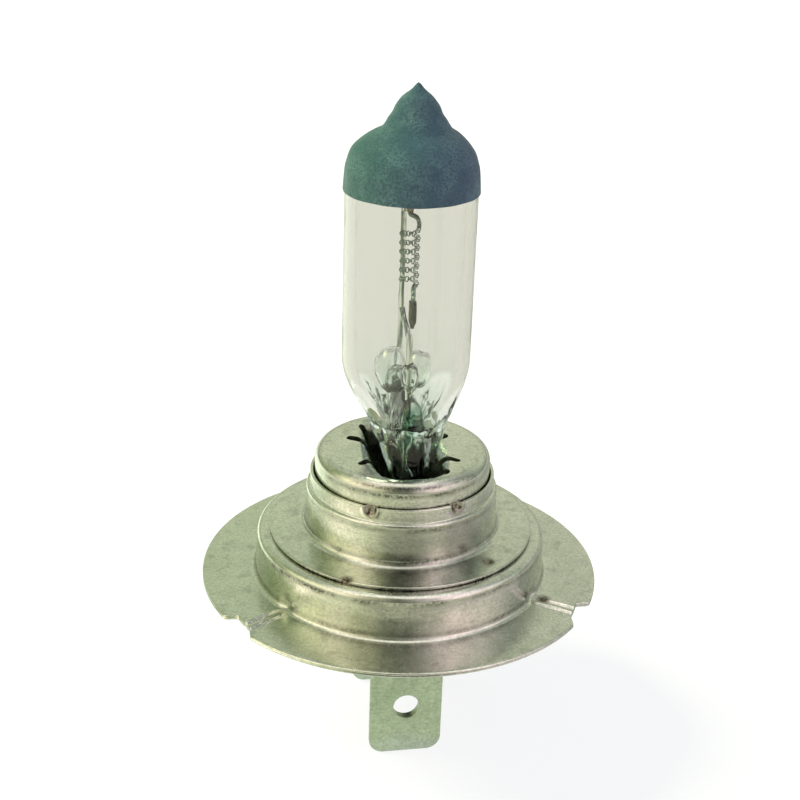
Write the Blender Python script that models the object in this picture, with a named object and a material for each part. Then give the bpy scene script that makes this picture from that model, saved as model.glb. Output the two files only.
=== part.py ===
"""Halogen headlight bulb with a two-blade prefocus cap.

The origin is the centre of the locating flange's glass side, which is the plane that the lamp
is focused from. +Z runs up the glass, and the two blades face +Y and -Y. Lengths are in metres.
"""
import math

import bmesh
import bpy
from mathutils import Vector

MM = 0.001
SEGMENTS = 48
JOINT_GAP = 0.1 * MM
SEAL_GAP = 0.04 * MM
CUT_OVERRUN = 1.0 * MM

# Locating flange: a flat ring, with a low drum drawn up from it.
SHEET = 0.4 * MM
FLANGE_RADIUS = 17.0 * MM
DRUM_RADIUS = 12.45 * MM
DRUM_TOP = 3.85 * MM
DRUM_TAPER = 0.2 * MM
DRUM_FOOT_FILLET = 0.4 * MM
DRUM_EDGE_RADIUS = 0.6 * MM
DRUM_OPENING_RADIUS = 9.0 * MM
NOTCHES = ((87.0, 1.0), (210.0, 1.0), (324.0, -1.0))
NOTCH_HALF_WIDTH = 1.9 * MM
NOTCH_DEEP = (-1.5 * MM, 1.0 * MM)
NOTCH_SHALLOW = (0.9 * MM, 0.7 * MM)
RIB_ANGLES = (87.0, 212.0, 324.0)
RIB_RADIUS = 0.45 * MM
RIB_HEIGHT = 0.22 * MM
RIB_START = 13.2 * MM

# Focus ring: stands on the drum, and its collar holds the clamp cup.
FOCUS_SHEET = 0.35 * MM
FOCUS_FLANGE_RADIUS = 11.2 * MM
FOCUS_FLANGE_TOP = 4.3 * MM
FOCUS_WALL_RADIUS = 8.2 * MM
FOCUS_FOOT_FILLET = 0.6 * MM
SHOULDER_Z = 7.9 * MM
SHOULDER_RADIUS = 0.45 * MM
COLLAR_RADIUS = 7.78 * MM
COLLAR_TOP = 9.2 * MM
COLLAR_BORE = 7.5 * MM

# Clamp cup: its top is slit into tongues that bend down to the flat sides of the seal.
CUP_SHEET = 0.3 * MM
CUP_RADIUS = 7.4 * MM
CUP_BOTTOM = 4.9 * MM
CUP_TOP = 11.25 * MM
CUP_EDGE_RADIUS = 1.0 * MM
TONGUE_ROOT = (3.7 * MM, 6.4 * MM)
TONGUE_TIP = (2.5 * MM, 5.4 * MM)
TONGUE_DROP = 2.3 * MM
TONGUE_ROOT_SQUARENESS = 3.0
SLITS = (
    (24.5, 4.6 * MM, 1.10 * MM),
    (58.5, 6.0 * MM, 0.80 * MM),
    (120.5, 5.6 * MM, 1.25 * MM),
    (153.5, 5.0 * MM, 0.80 * MM),
    (216.5, 5.2 * MM, 0.60 * MM),
    (245.5, 6.1 * MM, 0.80 * MM),
    (295.5, 6.2 * MM, 1.30 * MM),
    (321.5, 5.4 * MM, 0.60 * MM),
)

# Glass: a tube that closes to a drawn tip above and to a flat press seal below.
TUBE_RADIUS = 5.25 * MM
TUBE_WALL = 1.0 * MM
TUBE_BOTTOM = 19.6 * MM
SEAL_TOP = 12.4 * MM
SEAL_BOTTOM = 2.0 * MM
SEAL_HALF_THICKNESS = 1.7 * MM
SEAL_HALF_WIDTH = 4.7 * MM
SEAL_SQUARENESS = 5.0
SHOULDER_DEPTH = 5.0 * MM
SHOULDER_POWER = 1.2
NECK_LOW = 9.5 * MM
NECK_MIDDLE = 12.0 * MM
NECK_HIGH = 15.5 * MM
NECK_FLARE = 1.6 * MM
CHAMBER_BOTTOM = 16.3 * MM
CHAMBER_TOP = 36.4 * MM
CHAMBER_FOOT_POWER = 0.9
CHAMBER_STEPS = 5
PASSAGE_OVERRUN = 2.0 * MM
DOME = (
    (5.13 * MM, 35.0 * MM),
    (4.97 * MM, 35.7 * MM),
    (4.77 * MM, 36.3 * MM),
    (4.42 * MM, 36.8 * MM),
    (3.90 * MM, 37.3 * MM),
    (3.35 * MM, 37.7 * MM),
    (2.75 * MM, 38.05 * MM),
    (2.45 * MM, 38.4 * MM),
    (2.18 * MM, 38.85 * MM),
    (1.83 * MM, 39.35 * MM),
    (1.56 * MM, 39.95 * MM),
    (1.08 * MM, 40.55 * MM),
    (0.42 * MM, 41.1 * MM),
)
TIP_Z = 41.6 * MM
COATING_BOTTOM = 33.4 * MM
COATING_GAP = 0.03 * MM
COATING_THICKNESS = 0.12 * MM

# Filament: the fine primary coil is one round section here, wound into open turns.
FILAMENT_BOTTOM = 26.1 * MM
FILAMENT_PITCH = 0.745 * MM
FILAMENT_TURNS = 5.3
FILAMENT_MEAN_RADIUS = 0.57 * MM
FILAMENT_SECTION_RADIUS = 0.2 * MM
FILAMENT_START_ANGLE = -113.5
FILAMENT_POINTS_PER_TURN = 12

# Lead wires, foils and crimps.
INNER_LEAD_RADIUS = 0.23 * MM
OUTER_LEAD_RADIUS = 0.3 * MM
LONG_LEAD = (-0.14 * MM, 2.4 * MM)
SHORT_LEAD = (-0.19 * MM, -2.4 * MM)
INNER_LEAD_BOTTOM = 9.2 * MM
OUTER_LEAD_TOP = 5.6 * MM
FOIL_BOTTOM = 4.4 * MM
FOIL_TOP = 10.4 * MM
FOIL_WIDTH = 2.2 * MM
FOIL_THICKNESS = 0.1 * MM
LOWER_CRIMP = (0.05 * MM, -1.85 * MM, 22.7 * MM, 24.9 * MM)
UPPER_CRIMP = (0.1 * MM, 0.9 * MM, 31.3 * MM, 32.5 * MM)
CRIMP_HALF_SIZE = (0.3 * MM, 0.42 * MM)
CRIMP_END_SHARE = (0.92, 0.7)
CRIMP_END_LENGTH = 0.4 * MM

# Insulator and the two 6.3 x 0.8 mm blades.
INSULATOR_RIM_RADIUS = 11.6 * MM
INSULATOR_RIM_TOP = DRUM_TOP - SHEET - JOINT_GAP
INSULATOR_RIM_BOTTOM = 0.2 * MM
INSULATOR_BOSS_RADIUS = 9.4 * MM
INSULATOR_BOTTOM = -5.5 * MM
INSULATOR_CHAMFER = 0.4 * MM
WELL_HALF_SIZE = (3.7 * MM, 6.5 * MM)
WELL_FLOOR = -3.3 * MM
BLADE_WIDTH = 6.3 * MM
BLADE_THICKNESS = 0.8 * MM
BLADE_Y = 5.5 * MM
BLADE_TOP = 0.4 * MM
BLADE_BOTTOM = -15.7 * MM
BLADE_CHAMFER = 1.0 * MM
BLADE_COINING = (0.35 * MM, 0.15 * MM)
BLADE_HOLE_RADIUS = 1.15 * MM
BLADE_HOLE_Z = -11.0 * MM
BLADE_SLOT_GAP = 0.1 * MM


def clear_scene():
    for item in list(bpy.data.objects):
        bpy.data.objects.remove(item, do_unlink=True)


def make_material(name, colour, roughness, metallic=0.0, transmission=0.0):
    material = bpy.data.materials.new(name)
    material.use_nodes = True
    shader = material.node_tree.nodes["Principled BSDF"]
    shader.inputs["Base Color"].default_value = (*colour, 1.0)
    shader.inputs["Roughness"].default_value = roughness
    shader.inputs["Metallic"].default_value = metallic
    shader.inputs["Transmission Weight"].default_value = transmission
    material.diffuse_color = (*colour, 1.0)
    return material


def make_object(name, mesh_builder, material=None):
    """Turn a finished bmesh into a linked object, shaded smooth with its sharp edges kept."""
    bmesh.ops.recalc_face_normals(mesh_builder, faces=mesh_builder.faces)
    mesh = bpy.data.meshes.new(name)
    mesh_builder.to_mesh(mesh)
    mesh_builder.free()
    mesh.shade_smooth()
    mesh.set_sharp_from_angle(angle=math.radians(35.0))
    item = bpy.data.objects.new(name, mesh)
    bpy.context.collection.objects.link(item)
    if material:
        mesh.materials.append(material)
    return item


def boolean(target, tool, operation="DIFFERENCE"):
    """Cut or join with a hidden guide object that stays in the file."""
    tool.hide_render = True
    tool.display_type = "WIRE"
    modifier = target.modifiers.new(operation.title(), "BOOLEAN")
    modifier.operation = operation
    modifier.solver = "EXACT"
    modifier.object = tool


def arc(centre_r, centre_z, radius, start, end, steps):
    """Points of a circular arc in the (r, z) plane, angles in degrees from +r towards +z."""
    points = []
    for step in range(steps + 1):
        angle = math.radians(start + (end - start) * step / steps)
        points.append((centre_r + radius * math.cos(angle), centre_z + radius * math.sin(angle)))
    return points


def superellipse(half_x, half_y, power, angle):
    """Distance from the centre to a rounded rectangle's edge, in the direction of angle."""
    across = abs(math.cos(angle) / half_x) ** power
    along = abs(math.sin(angle) / half_y) ** power
    return (across + along) ** (-1.0 / power)


def loft(name, rings, material=None, closed=False):
    """Skin rings of points in order. A ring of one point is a pole.

    An open loft gets a flat face on each end that isn't a pole, and a closed one joins its last
    ring to its first.
    """
    builder = bmesh.new()
    rows = [[builder.verts.new(point) for point in ring] for ring in rings]
    pairs = list(zip(rows, rows[1:]))
    if closed:
        pairs.append((rows[-1], rows[0]))
    for lower, upper in pairs:
        count = max(len(lower), len(upper))
        for index in range(count):
            following = (index + 1) % count
            if len(lower) == 1:
                builder.faces.new((lower[0], upper[following], upper[index]))
            elif len(upper) == 1:
                builder.faces.new((lower[index], lower[following], upper[0]))
            else:
                builder.faces.new((lower[index], lower[following], upper[following], upper[index]))
    if not closed:
        for row in (rows[0], rows[-1]):
            if len(row) > 1:
                builder.faces.new(row)
    return make_object(name, builder, material)


def ring_at(radius, height):
    """One ring round the Z axis. radius is a number, or a function of the angle."""
    points = []
    for index in range(SEGMENTS):
        angle = 2.0 * math.pi * index / SEGMENTS
        reach = radius(angle) if callable(radius) else radius
        points.append(Vector((reach * math.cos(angle), reach * math.sin(angle), height)))
    return points


def turned(name, outline, material=None):
    """Turn a closed (r, z) outline round the Z axis."""
    rings = [ring_at(radius, height) for radius, height in outline]
    return loft(name, rings, material, closed=True)


def block(name, low, high, material=None):
    builder = bmesh.new()
    bmesh.ops.create_cube(builder, size=1.0)
    middle = (Vector(low) + Vector(high)) / 2.0
    size = Vector(high) - Vector(low)
    for vertex in builder.verts:
        vertex.co = Vector([c * s for c, s in zip(vertex.co, size)]) + middle
    return make_object(name, builder, material)


def smooth_path(points, steps):
    """A Catmull-Rom curve through hand-placed points."""
    ends = [points[0]] + list(points) + [points[-1]]
    path = []
    for before, start, end, after in zip(ends, ends[1:], ends[2:], ends[3:]):
        before, start, end, after = (Vector(p) for p in (before, start, end, after))
        for step in range(steps):
            t = step / steps
            path.append(0.5 * (2.0 * start + (end - before) * t
                               + (2.0 * before - 5.0 * start + 4.0 * end - after) * t ** 2
                               + (3.0 * start - before - 3.0 * end + after) * t ** 3))
    path.append(Vector(points[-1]))
    return path


def wire(name, path, radius, sides, material):
    """Sweep a round section along a path, turning its frame as little as possible."""
    rings = []
    tangent = (path[1] - path[0]).normalized()
    normal = tangent.orthogonal().normalized()
    for index, point in enumerate(path):
        ahead = path[min(index + 1, len(path) - 1)]
        behind = path[max(index - 1, 0)]
        turn = tangent.rotation_difference((ahead - behind).normalized())
        tangent = turn @ tangent
        normal = turn @ normal
        side = tangent.cross(normal)
        ring = []
        for step in range(sides):
            angle = 2.0 * math.pi * step / sides
            ring.append(point + radius * (math.cos(angle) * normal + math.sin(angle) * side))
        rings.append(ring)
    return loft(name, rings, material)


def locating_flange(material):
    """The flat ring and drum, with three rim notches and a pressed rib running to each."""
    under = -SHEET
    top_r = DRUM_RADIUS - DRUM_TAPER
    inner_foot = DRUM_RADIUS - SHEET
    edge_inside = DRUM_EDGE_RADIUS - SHEET
    outline = [(FLANGE_RADIUS, under), (FLANGE_RADIUS, 0.0)]
    outline += arc(DRUM_RADIUS + DRUM_FOOT_FILLET, DRUM_FOOT_FILLET, DRUM_FOOT_FILLET, 270, 180, 3)
    outline += arc(top_r - DRUM_EDGE_RADIUS, DRUM_TOP - DRUM_EDGE_RADIUS, DRUM_EDGE_RADIUS, 0, 90, 4)
    outline += [(DRUM_OPENING_RADIUS, DRUM_TOP), (DRUM_OPENING_RADIUS, DRUM_TOP - SHEET)]
    outline += arc(top_r - DRUM_EDGE_RADIUS, DRUM_TOP - DRUM_EDGE_RADIUS, edge_inside, 90, 0, 2)
    outline += [(inner_foot, DRUM_FOOT_FILLET), (DRUM_RADIUS + DRUM_FOOT_FILLET - SHEET, under)]
    flange = turned("locating_flange", outline, material)
    for angle in RIB_ANGLES:
        add_rib(flange, angle)
    for angle, way in NOTCHES:
        cut_notch(flange, angle, way)
    return flange


def add_rib(flange, angle):
    """A low half-round bar, sunk a little into the flange and ended inside the notch's cut."""
    steps = 8
    sink = SHEET / 2.0
    section = [(-RIB_RADIUS, -sink)]
    for step in range(steps + 1):
        turn = math.pi * (1.0 - step / steps)
        section.append((RIB_RADIUS * math.cos(turn), RIB_HEIGHT * math.sin(turn)))
    section.append((RIB_RADIUS, -sink))
    reach = FLANGE_RADIUS - NOTCH_SHALLOW[1] / 2.0
    rings = [[Vector((along, across, up)) for across, up in section] for along in (RIB_START, reach)]
    rib = loft("rib_guide_%d" % angle, rings)
    rib.rotation_euler.z = math.radians(angle)
    boolean(flange, rib, "UNION")


def cut_notch(flange, angle, way):
    """A notch that is steep and deep at one end and runs out at the other. way says which."""
    outside = FLANGE_RADIUS + CUT_OVERRUN
    rim = math.sqrt(FLANGE_RADIUS ** 2 - NOTCH_HALF_WIDTH ** 2)
    outline = [(outside, -NOTCH_HALF_WIDTH), (rim, -NOTCH_HALF_WIDTH)]
    for across, depth in (NOTCH_DEEP, NOTCH_SHALLOW):
        outline.append((math.sqrt(FLANGE_RADIUS ** 2 - across ** 2) - depth, across))
    outline += [(rim, NOTCH_HALF_WIDTH), (outside, NOTCH_HALF_WIDTH)]
    rings = [[Vector((along, way * across, height)) for along, across in outline]
             for height in (-SHEET - CUT_OVERRUN, CUT_OVERRUN)]
    notch = loft("notch_cutter_%d" % angle, rings)
    notch.rotation_euler.z = math.radians(angle)
    boolean(flange, notch)


def focus_ring(material):
    """A flat foot on the drum, a wall, a shoulder, and the collar round the cup."""
    bottom = DRUM_TOP + JOINT_GAP
    fillet_r = FOCUS_WALL_RADIUS + FOCUS_FOOT_FILLET
    fillet_z = FOCUS_FLANGE_TOP + FOCUS_FOOT_FILLET
    shoulder_z = SHOULDER_Z - SHOULDER_RADIUS
    inner_wall = FOCUS_WALL_RADIUS - FOCUS_SHEET
    outline = [(FOCUS_FLANGE_RADIUS, bottom), (FOCUS_FLANGE_RADIUS, FOCUS_FLANGE_TOP)]
    outline += arc(fillet_r, fillet_z, FOCUS_FOOT_FILLET, 270, 180, 3)
    outline += arc(FOCUS_WALL_RADIUS - SHOULDER_RADIUS, shoulder_z, SHOULDER_RADIUS, 0, 80, 3)
    outline += [(COLLAR_RADIUS, SHOULDER_Z + FOCUS_SHEET / 2.0), (COLLAR_RADIUS, COLLAR_TOP)]
    outline += [(COLLAR_BORE, COLLAR_TOP), (COLLAR_BORE, SHOULDER_Z - FOCUS_SHEET)]
    outline += [(inner_wall, shoulder_z), (inner_wall, bottom)]
    return turned("focus_ring", outline, material)


def clamp_cup(material):
    """A cup whose top bends down round a long opening, slit into tongues."""
    bend_z = CUP_TOP - TONGUE_DROP
    edge_r = CUP_RADIUS - CUP_EDGE_RADIUS
    edge_z = CUP_TOP - CUP_EDGE_RADIUS
    turns = (0, 30, 60, 90)

    def lip(turn, thickness):
        """The reach of the bent lip at one step of its turn, as a function of the angle."""
        def reach(angle):
            root = superellipse(*TONGUE_ROOT, TONGUE_ROOT_SQUARENESS, angle)
            tip = superellipse(*TONGUE_TIP, SEAL_SQUARENESS, angle)
            return root - (root - tip - thickness) * math.sin(math.radians(turn))
        return reach

    outline = [(CUP_RADIUS, CUP_BOTTOM)]
    outline += arc(edge_r, edge_z, CUP_EDGE_RADIUS, 0, 90, 4)
    for turn in turns:
        outline.append((lip(turn, 0.0), bend_z + TONGUE_DROP * math.cos(math.radians(turn))))
    for turn in reversed(turns):
        height = bend_z + (TONGUE_DROP - CUP_SHEET) * math.cos(math.radians(turn))
        outline.append((lip(turn, CUP_SHEET), height))
    outline += arc(edge_r, edge_z, CUP_EDGE_RADIUS - CUP_SHEET, 90, 0, 3)
    outline.append((CUP_RADIUS - CUP_SHEET, CUP_BOTTOM))
    cup = turned("clamp_cup", outline, material)
    for number, (angle, outer_end, width) in enumerate(SLITS):
        low = (CUP_SHEET, -width / 2.0, bend_z - CUT_OVERRUN)
        high = (outer_end, width / 2.0, CUP_TOP + CUT_OVERRUN)
        slit = block("slit_cutter_%d" % number, low, high)
        slit.rotation_euler.z = math.radians(angle)
        boolean(cup, slit)
    return cup


def seal_ring(height):
    """One ring of the glass below the tube: a round shoulder, a flared neck and the flat seal."""
    depth = min(max((TUBE_BOTTOM - height) / (TUBE_BOTTOM - SEAL_TOP), 0.0), 1.0)
    fullness = max(1.0 - ((TUBE_BOTTOM - height) / SHOULDER_DEPTH) ** 2, 0.0)
    flare = min(max((height - NECK_LOW) / (NECK_HIGH - NECK_LOW), 0.0), 1.0)
    neck = SEAL_HALF_THICKNESS + NECK_FLARE * flare ** 2 * (3.0 - 2.0 * flare)
    half_x = neck + (TUBE_RADIUS - neck) * fullness ** SHOULDER_POWER
    half_y = SEAL_HALF_WIDTH + (TUBE_RADIUS - SEAL_HALF_WIDTH) * math.sqrt(fullness)
    power = 2.0 + (SEAL_SQUARENESS - 2.0) * depth ** 3
    return ring_at(lambda angle: superellipse(half_x, half_y, power, angle), height)


def glass_outline():
    """The glass above the tube's foot, as (r, z) pairs up to just below the tip."""
    return [(TUBE_RADIUS, COATING_BOTTOM)] + list(DOME)


def glass_envelope(material):
    """The quartz body. Its chamber opens below only along the lead wires' passages."""
    steps = 8
    rings = [seal_ring(height) for height in (SEAL_BOTTOM, NECK_LOW, NECK_MIDDLE)]
    for step in range(steps + 1):
        rise = math.sin(math.pi / 2 * step / steps)
        rings.append(seal_ring(TUBE_BOTTOM - SHOULDER_DEPTH * (1.0 - rise)))
    rings += [ring_at(radius, height) for radius, height in glass_outline()]
    rings.append([Vector((0.0, 0.0, TIP_Z))])
    glass = loft("glass_envelope", rings, material)
    boolean(glass, chamber_cutter())
    for lead_x, lead_y in (LONG_LEAD, SHORT_LEAD):
        for cutter in passage_cutters(lead_x, lead_y):
            boolean(glass, cutter)
    return glass


def chamber_cutter():
    """The gas space: a tube with a rounded foot and a domed top."""
    bore = TUBE_RADIUS - TUBE_WALL
    foot = TUBE_BOTTOM - CHAMBER_BOTTOM
    dome = CHAMBER_TOP - COATING_BOTTOM
    quarter_turns = [math.pi / 2 * step / CHAMBER_STEPS for step in range(CHAMBER_STEPS + 1)]
    rings = [[Vector((0.0, 0.0, CHAMBER_BOTTOM))]]
    for turn in quarter_turns[1:]:
        reach = bore * math.sin(turn) ** CHAMBER_FOOT_POWER
        rings.append(ring_at(reach, TUBE_BOTTOM - foot * math.cos(turn)))
    for turn in quarter_turns[:-1]:
        rings.append(ring_at(bore * math.cos(turn), COATING_BOTTOM + dome * math.sin(turn)))
    rings.append([Vector((0.0, 0.0, CHAMBER_TOP))])
    return loft("chamber_cutter", rings)


def foil_centre(lead_x):
    """A foil lies beside its lead wires, in the X direction."""
    return lead_x + OUTER_LEAD_RADIUS + FOIL_THICKNESS / 2.0 + SEAL_GAP


def passage_cutters(lead_x, lead_y):
    """Close-fitting passages for the two wires and the foil of one lead."""
    side = "rear" if lead_y > 0.0 else "front"
    inner = INNER_LEAD_RADIUS + SEAL_GAP
    outer = OUTER_LEAD_RADIUS + SEAL_GAP
    foil_x = foil_centre(lead_x)
    half_foil = FOIL_THICKNESS / 2.0 + SEAL_GAP
    half_width = FOIL_WIDTH / 2.0 + SEAL_GAP
    chamber_entry = CHAMBER_BOTTOM + PASSAGE_OVERRUN
    return (
        block("inner_passage_cutter_" + side,
              (lead_x - inner, lead_y - inner, INNER_LEAD_BOTTOM - SEAL_GAP),
              (foil_x, lead_y + inner, chamber_entry)),
        block("foil_passage_cutter_" + side,
              (foil_x - half_foil, lead_y - half_width, FOIL_BOTTOM - SEAL_GAP),
              (foil_x + half_foil, lead_y + half_width, FOIL_TOP + SEAL_GAP)),
        block("outer_passage_cutter_" + side,
              (lead_x - outer, lead_y - outer, SEAL_BOTTOM - CUT_OVERRUN),
              (foil_x, lead_y + outer, OUTER_LEAD_TOP + SEAL_GAP)),
    )


def glare_coating(material):
    """A thin opaque skin that follows the dome and the tip."""
    outline = glass_outline()
    inside = offset_outline(outline, COATING_GAP)
    outside = offset_outline(outline, COATING_GAP + COATING_THICKNESS)
    inner_tip = TIP_Z + 2.0 * COATING_GAP
    outer_tip = inner_tip + COATING_THICKNESS
    rings = [[Vector((0.0, 0.0, inner_tip))]]
    rings += [ring_at(radius, height) for radius, height in reversed(inside)]
    rings += [ring_at(radius, height) for radius, height in outside]
    rings.append([Vector((0.0, 0.0, outer_tip))])
    return loft("glare_coating", rings, material)


def offset_outline(outline, distance):
    """Move each (r, z) point outwards along its normal. The first point stays at its height."""
    moved = []
    for index, (radius, height) in enumerate(outline):
        before = outline[max(index - 1, 0)]
        after = outline[min(index + 1, len(outline) - 1)]
        run = after[0] - before[0]
        rise = after[1] - before[1]
        length = math.hypot(run, rise)
        moved.append((radius + distance * rise / length, height - distance * run / length))
    return moved


def filament(material):
    """Two legs and the open turns, as one swept wire."""
    turns = []
    for step in range(round(FILAMENT_TURNS * FILAMENT_POINTS_PER_TURN) + 1):
        part = step / FILAMENT_POINTS_PER_TURN
        angle = math.radians(FILAMENT_START_ANGLE) + 2.0 * math.pi * part
        turns.append(Vector((FILAMENT_MEAN_RADIUS * math.cos(angle),
                             FILAMENT_MEAN_RADIUS * math.sin(angle),
                             FILAMENT_BOTTOM + FILAMENT_PITCH * part)))
    crimp_x, crimp_y, crimp_low, crimp_high = LOWER_CRIMP
    lower_leg = smooth_path((
        (crimp_x, crimp_y, crimp_low + 0.3 * MM),
        (crimp_x, crimp_y, crimp_high),
        (crimp_x, crimp_y + 0.25 * MM, crimp_high + 0.6 * MM),
        (0.0, -1.05 * MM, FILAMENT_BOTTOM - 0.25 * MM),
        tuple(turns[0]),
    ), 4)
    crimp_x, crimp_y, crimp_low, crimp_high = UPPER_CRIMP
    upper_leg = smooth_path((
        tuple(turns[-1]),
        (0.63 * MM, 0.1 * MM, 30.6 * MM),
        (0.48 * MM, 0.47 * MM, 31.0 * MM),
        (crimp_x, crimp_y, crimp_low + 0.1 * MM),
        (crimp_x, crimp_y, crimp_high - 0.1 * MM),
    ), 4)
    path = lower_leg[:-1] + turns + upper_leg[1:]
    return wire("filament", path, FILAMENT_SECTION_RADIUS, 6, material)


def crimp(name, place, material):
    """A flattened tube round a filament leg, narrower at its lower end."""
    x, y, low, high = place
    half_x, half_y = CRIMP_HALF_SIZE
    end_x = half_x * CRIMP_END_SHARE[0]
    end_y = half_y * CRIMP_END_SHARE[1]
    bore = FILAMENT_SECTION_RADIUS + SEAL_GAP
    sides = 12
    rings = []
    for size_x, size_y, height in ((end_x, end_y, low), (half_x, half_y, low + CRIMP_END_LENGTH),
                                   (half_x, half_y, high), (bore, bore, high), (bore, bore, low)):
        ring = []
        for step in range(sides):
            angle = 2.0 * math.pi * step / sides
            ring.append(Vector((x + size_x * math.cos(angle), y + size_y * math.sin(angle), height)))
        rings.append(ring)
    return loft(name, rings, material, closed=True)


def long_lead(material):
    """Runs up behind the coil and bends over to the upper crimp."""
    x, y = LONG_LEAD
    crimp_x, crimp_y, crimp_low, crimp_high = UPPER_CRIMP
    beside_crimp = crimp_y + CRIMP_HALF_SIZE[1] + INNER_LEAD_RADIUS + SEAL_GAP
    path = smooth_path((
        (x, y, INNER_LEAD_BOTTOM),
        (x, y, 20.0 * MM),
        (x, y, 30.3 * MM),
        (x * 0.8, y - 0.12 * MM, 31.3 * MM),
        (crimp_x - 0.08 * MM, beside_crimp + 0.15 * MM, 32.0 * MM),
        (crimp_x, beside_crimp + 0.02 * MM, crimp_high + 0.2 * MM),
    ), 4)
    return wire("long_lead_wire", path, INNER_LEAD_RADIUS, 8, material)


def short_lead(material):
    """Rises at the front and bends back beside the lower crimp."""
    x, y = SHORT_LEAD
    path = smooth_path((
        (x, y, INNER_LEAD_BOTTOM),
        (x, y, 15.0 * MM),
        (x, y, 21.4 * MM),
        (x - 0.15 * MM, y + 0.05 * MM, 22.4 * MM),
        (x - 0.42 * MM, y + 0.6 * MM, 23.5 * MM),
        (x - 0.5 * MM, y + 1.05 * MM, 24.3 * MM),
    ), 4)
    return wire("short_lead_wire", path, INNER_LEAD_RADIUS, 8, material)


def outer_lead(name, lead_x, lead_y, material):
    """Leaves the seal and lies along its blade's inner face."""
    outward = math.copysign(1.0, lead_y)
    blade_face = BLADE_Y - BLADE_THICKNESS / 2.0 - OUTER_LEAD_RADIUS - SEAL_GAP
    path = smooth_path((
        (lead_x, lead_y, OUTER_LEAD_TOP),
        (lead_x, lead_y, 3.0 * MM),
        (lead_x, lead_y, 1.4 * MM),
        (lead_x, lead_y + outward * 0.9 * MM, 0.3 * MM),
        (lead_x, outward * (blade_face - 0.25 * MM), -0.6 * MM),
        (lead_x, outward * blade_face, -1.5 * MM),
        (lead_x, outward * blade_face, -2.8 * MM),
    ), 3)
    return wire(name, path, OUTER_LEAD_RADIUS, 8, material)


def foil(name, lead_x, lead_y, material):
    centre = foil_centre(lead_x)
    half_foil = FOIL_THICKNESS / 2.0
    low = (centre - half_foil, lead_y - FOIL_WIDTH / 2.0, FOIL_BOTTOM)
    high = (centre + half_foil, lead_y + FOIL_WIDTH / 2.0, FOIL_TOP)
    return block(name, low, high, material)


def insulator(material):
    """A stepped disc with an open well for the seal's foot, and a slot for each blade."""
    top = INSULATOR_RIM_TOP
    outline = ((INSULATOR_BOSS_RADIUS - INSULATOR_CHAMFER, INSULATOR_BOTTOM),
               (INSULATOR_BOSS_RADIUS, INSULATOR_BOTTOM + INSULATOR_CHAMFER),
               (INSULATOR_BOSS_RADIUS, INSULATOR_RIM_BOTTOM),
               (INSULATOR_RIM_RADIUS, INSULATOR_RIM_BOTTOM),
               (INSULATOR_RIM_RADIUS, top - INSULATOR_CHAMFER),
               (INSULATOR_RIM_RADIUS - INSULATOR_CHAMFER, top))
    rings = [ring_at(radius, height) for radius, height in outline]
    body = loft("insulator", rings, material)
    half_x, half_y = WELL_HALF_SIZE
    well = block("well_cutter", (-half_x, -half_y, WELL_FLOOR), (half_x, half_y, top + CUT_OVERRUN))
    boolean(body, well)
    for side in (-1.0, 1.0):
        slot_x = BLADE_WIDTH / 2.0 + BLADE_SLOT_GAP
        slot_y = BLADE_THICKNESS / 2.0 + BLADE_SLOT_GAP
        slot = block("slot_cutter_%d" % side,
                     (-slot_x, side * BLADE_Y - slot_y, INSULATOR_BOTTOM - CUT_OVERRUN),
                     (slot_x, side * BLADE_Y + slot_y, WELL_FLOOR + CUT_OVERRUN))
        boolean(body, slot)
    return body


def blade(name, side, material):
    """A flat tab with coined edges, chamfered lower corners and a round hole."""
    inset, step = BLADE_COINING
    half_thickness = BLADE_THICKNESS / 2.0

    def outline(shrink, y):
        half = BLADE_WIDTH / 2.0 - shrink
        low = BLADE_BOTTOM + shrink
        cut = BLADE_CHAMFER - shrink * (2.0 - math.sqrt(2.0))
        corners = ((-half, BLADE_TOP - shrink), (-half, low + cut), (-half + cut, low),
                   (half - cut, low), (half, low + cut), (half, BLADE_TOP - shrink))
        return [Vector((x, side * BLADE_Y + y, z)) for x, z in corners]

    rings = [outline(inset, -half_thickness), outline(0.0, -half_thickness + step),
             outline(0.0, half_thickness - step), outline(inset, half_thickness)]
    tab = loft(name, rings, material)
    hole = hole_cutter("hole_cutter_%d" % side, side * BLADE_Y)
    boolean(tab, hole)
    return tab


def hole_cutter(name, y):
    sides = 24
    rings = []
    for end in (-CUT_OVERRUN, CUT_OVERRUN):
        ring = []
        for step in range(sides):
            angle = 2.0 * math.pi * step / sides
            ring.append(Vector((BLADE_HOLE_RADIUS * math.cos(angle), y + end,
                                BLADE_HOLE_Z + BLADE_HOLE_RADIUS * math.sin(angle))))
        rings.append(ring)
    return loft(name, rings)


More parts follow.
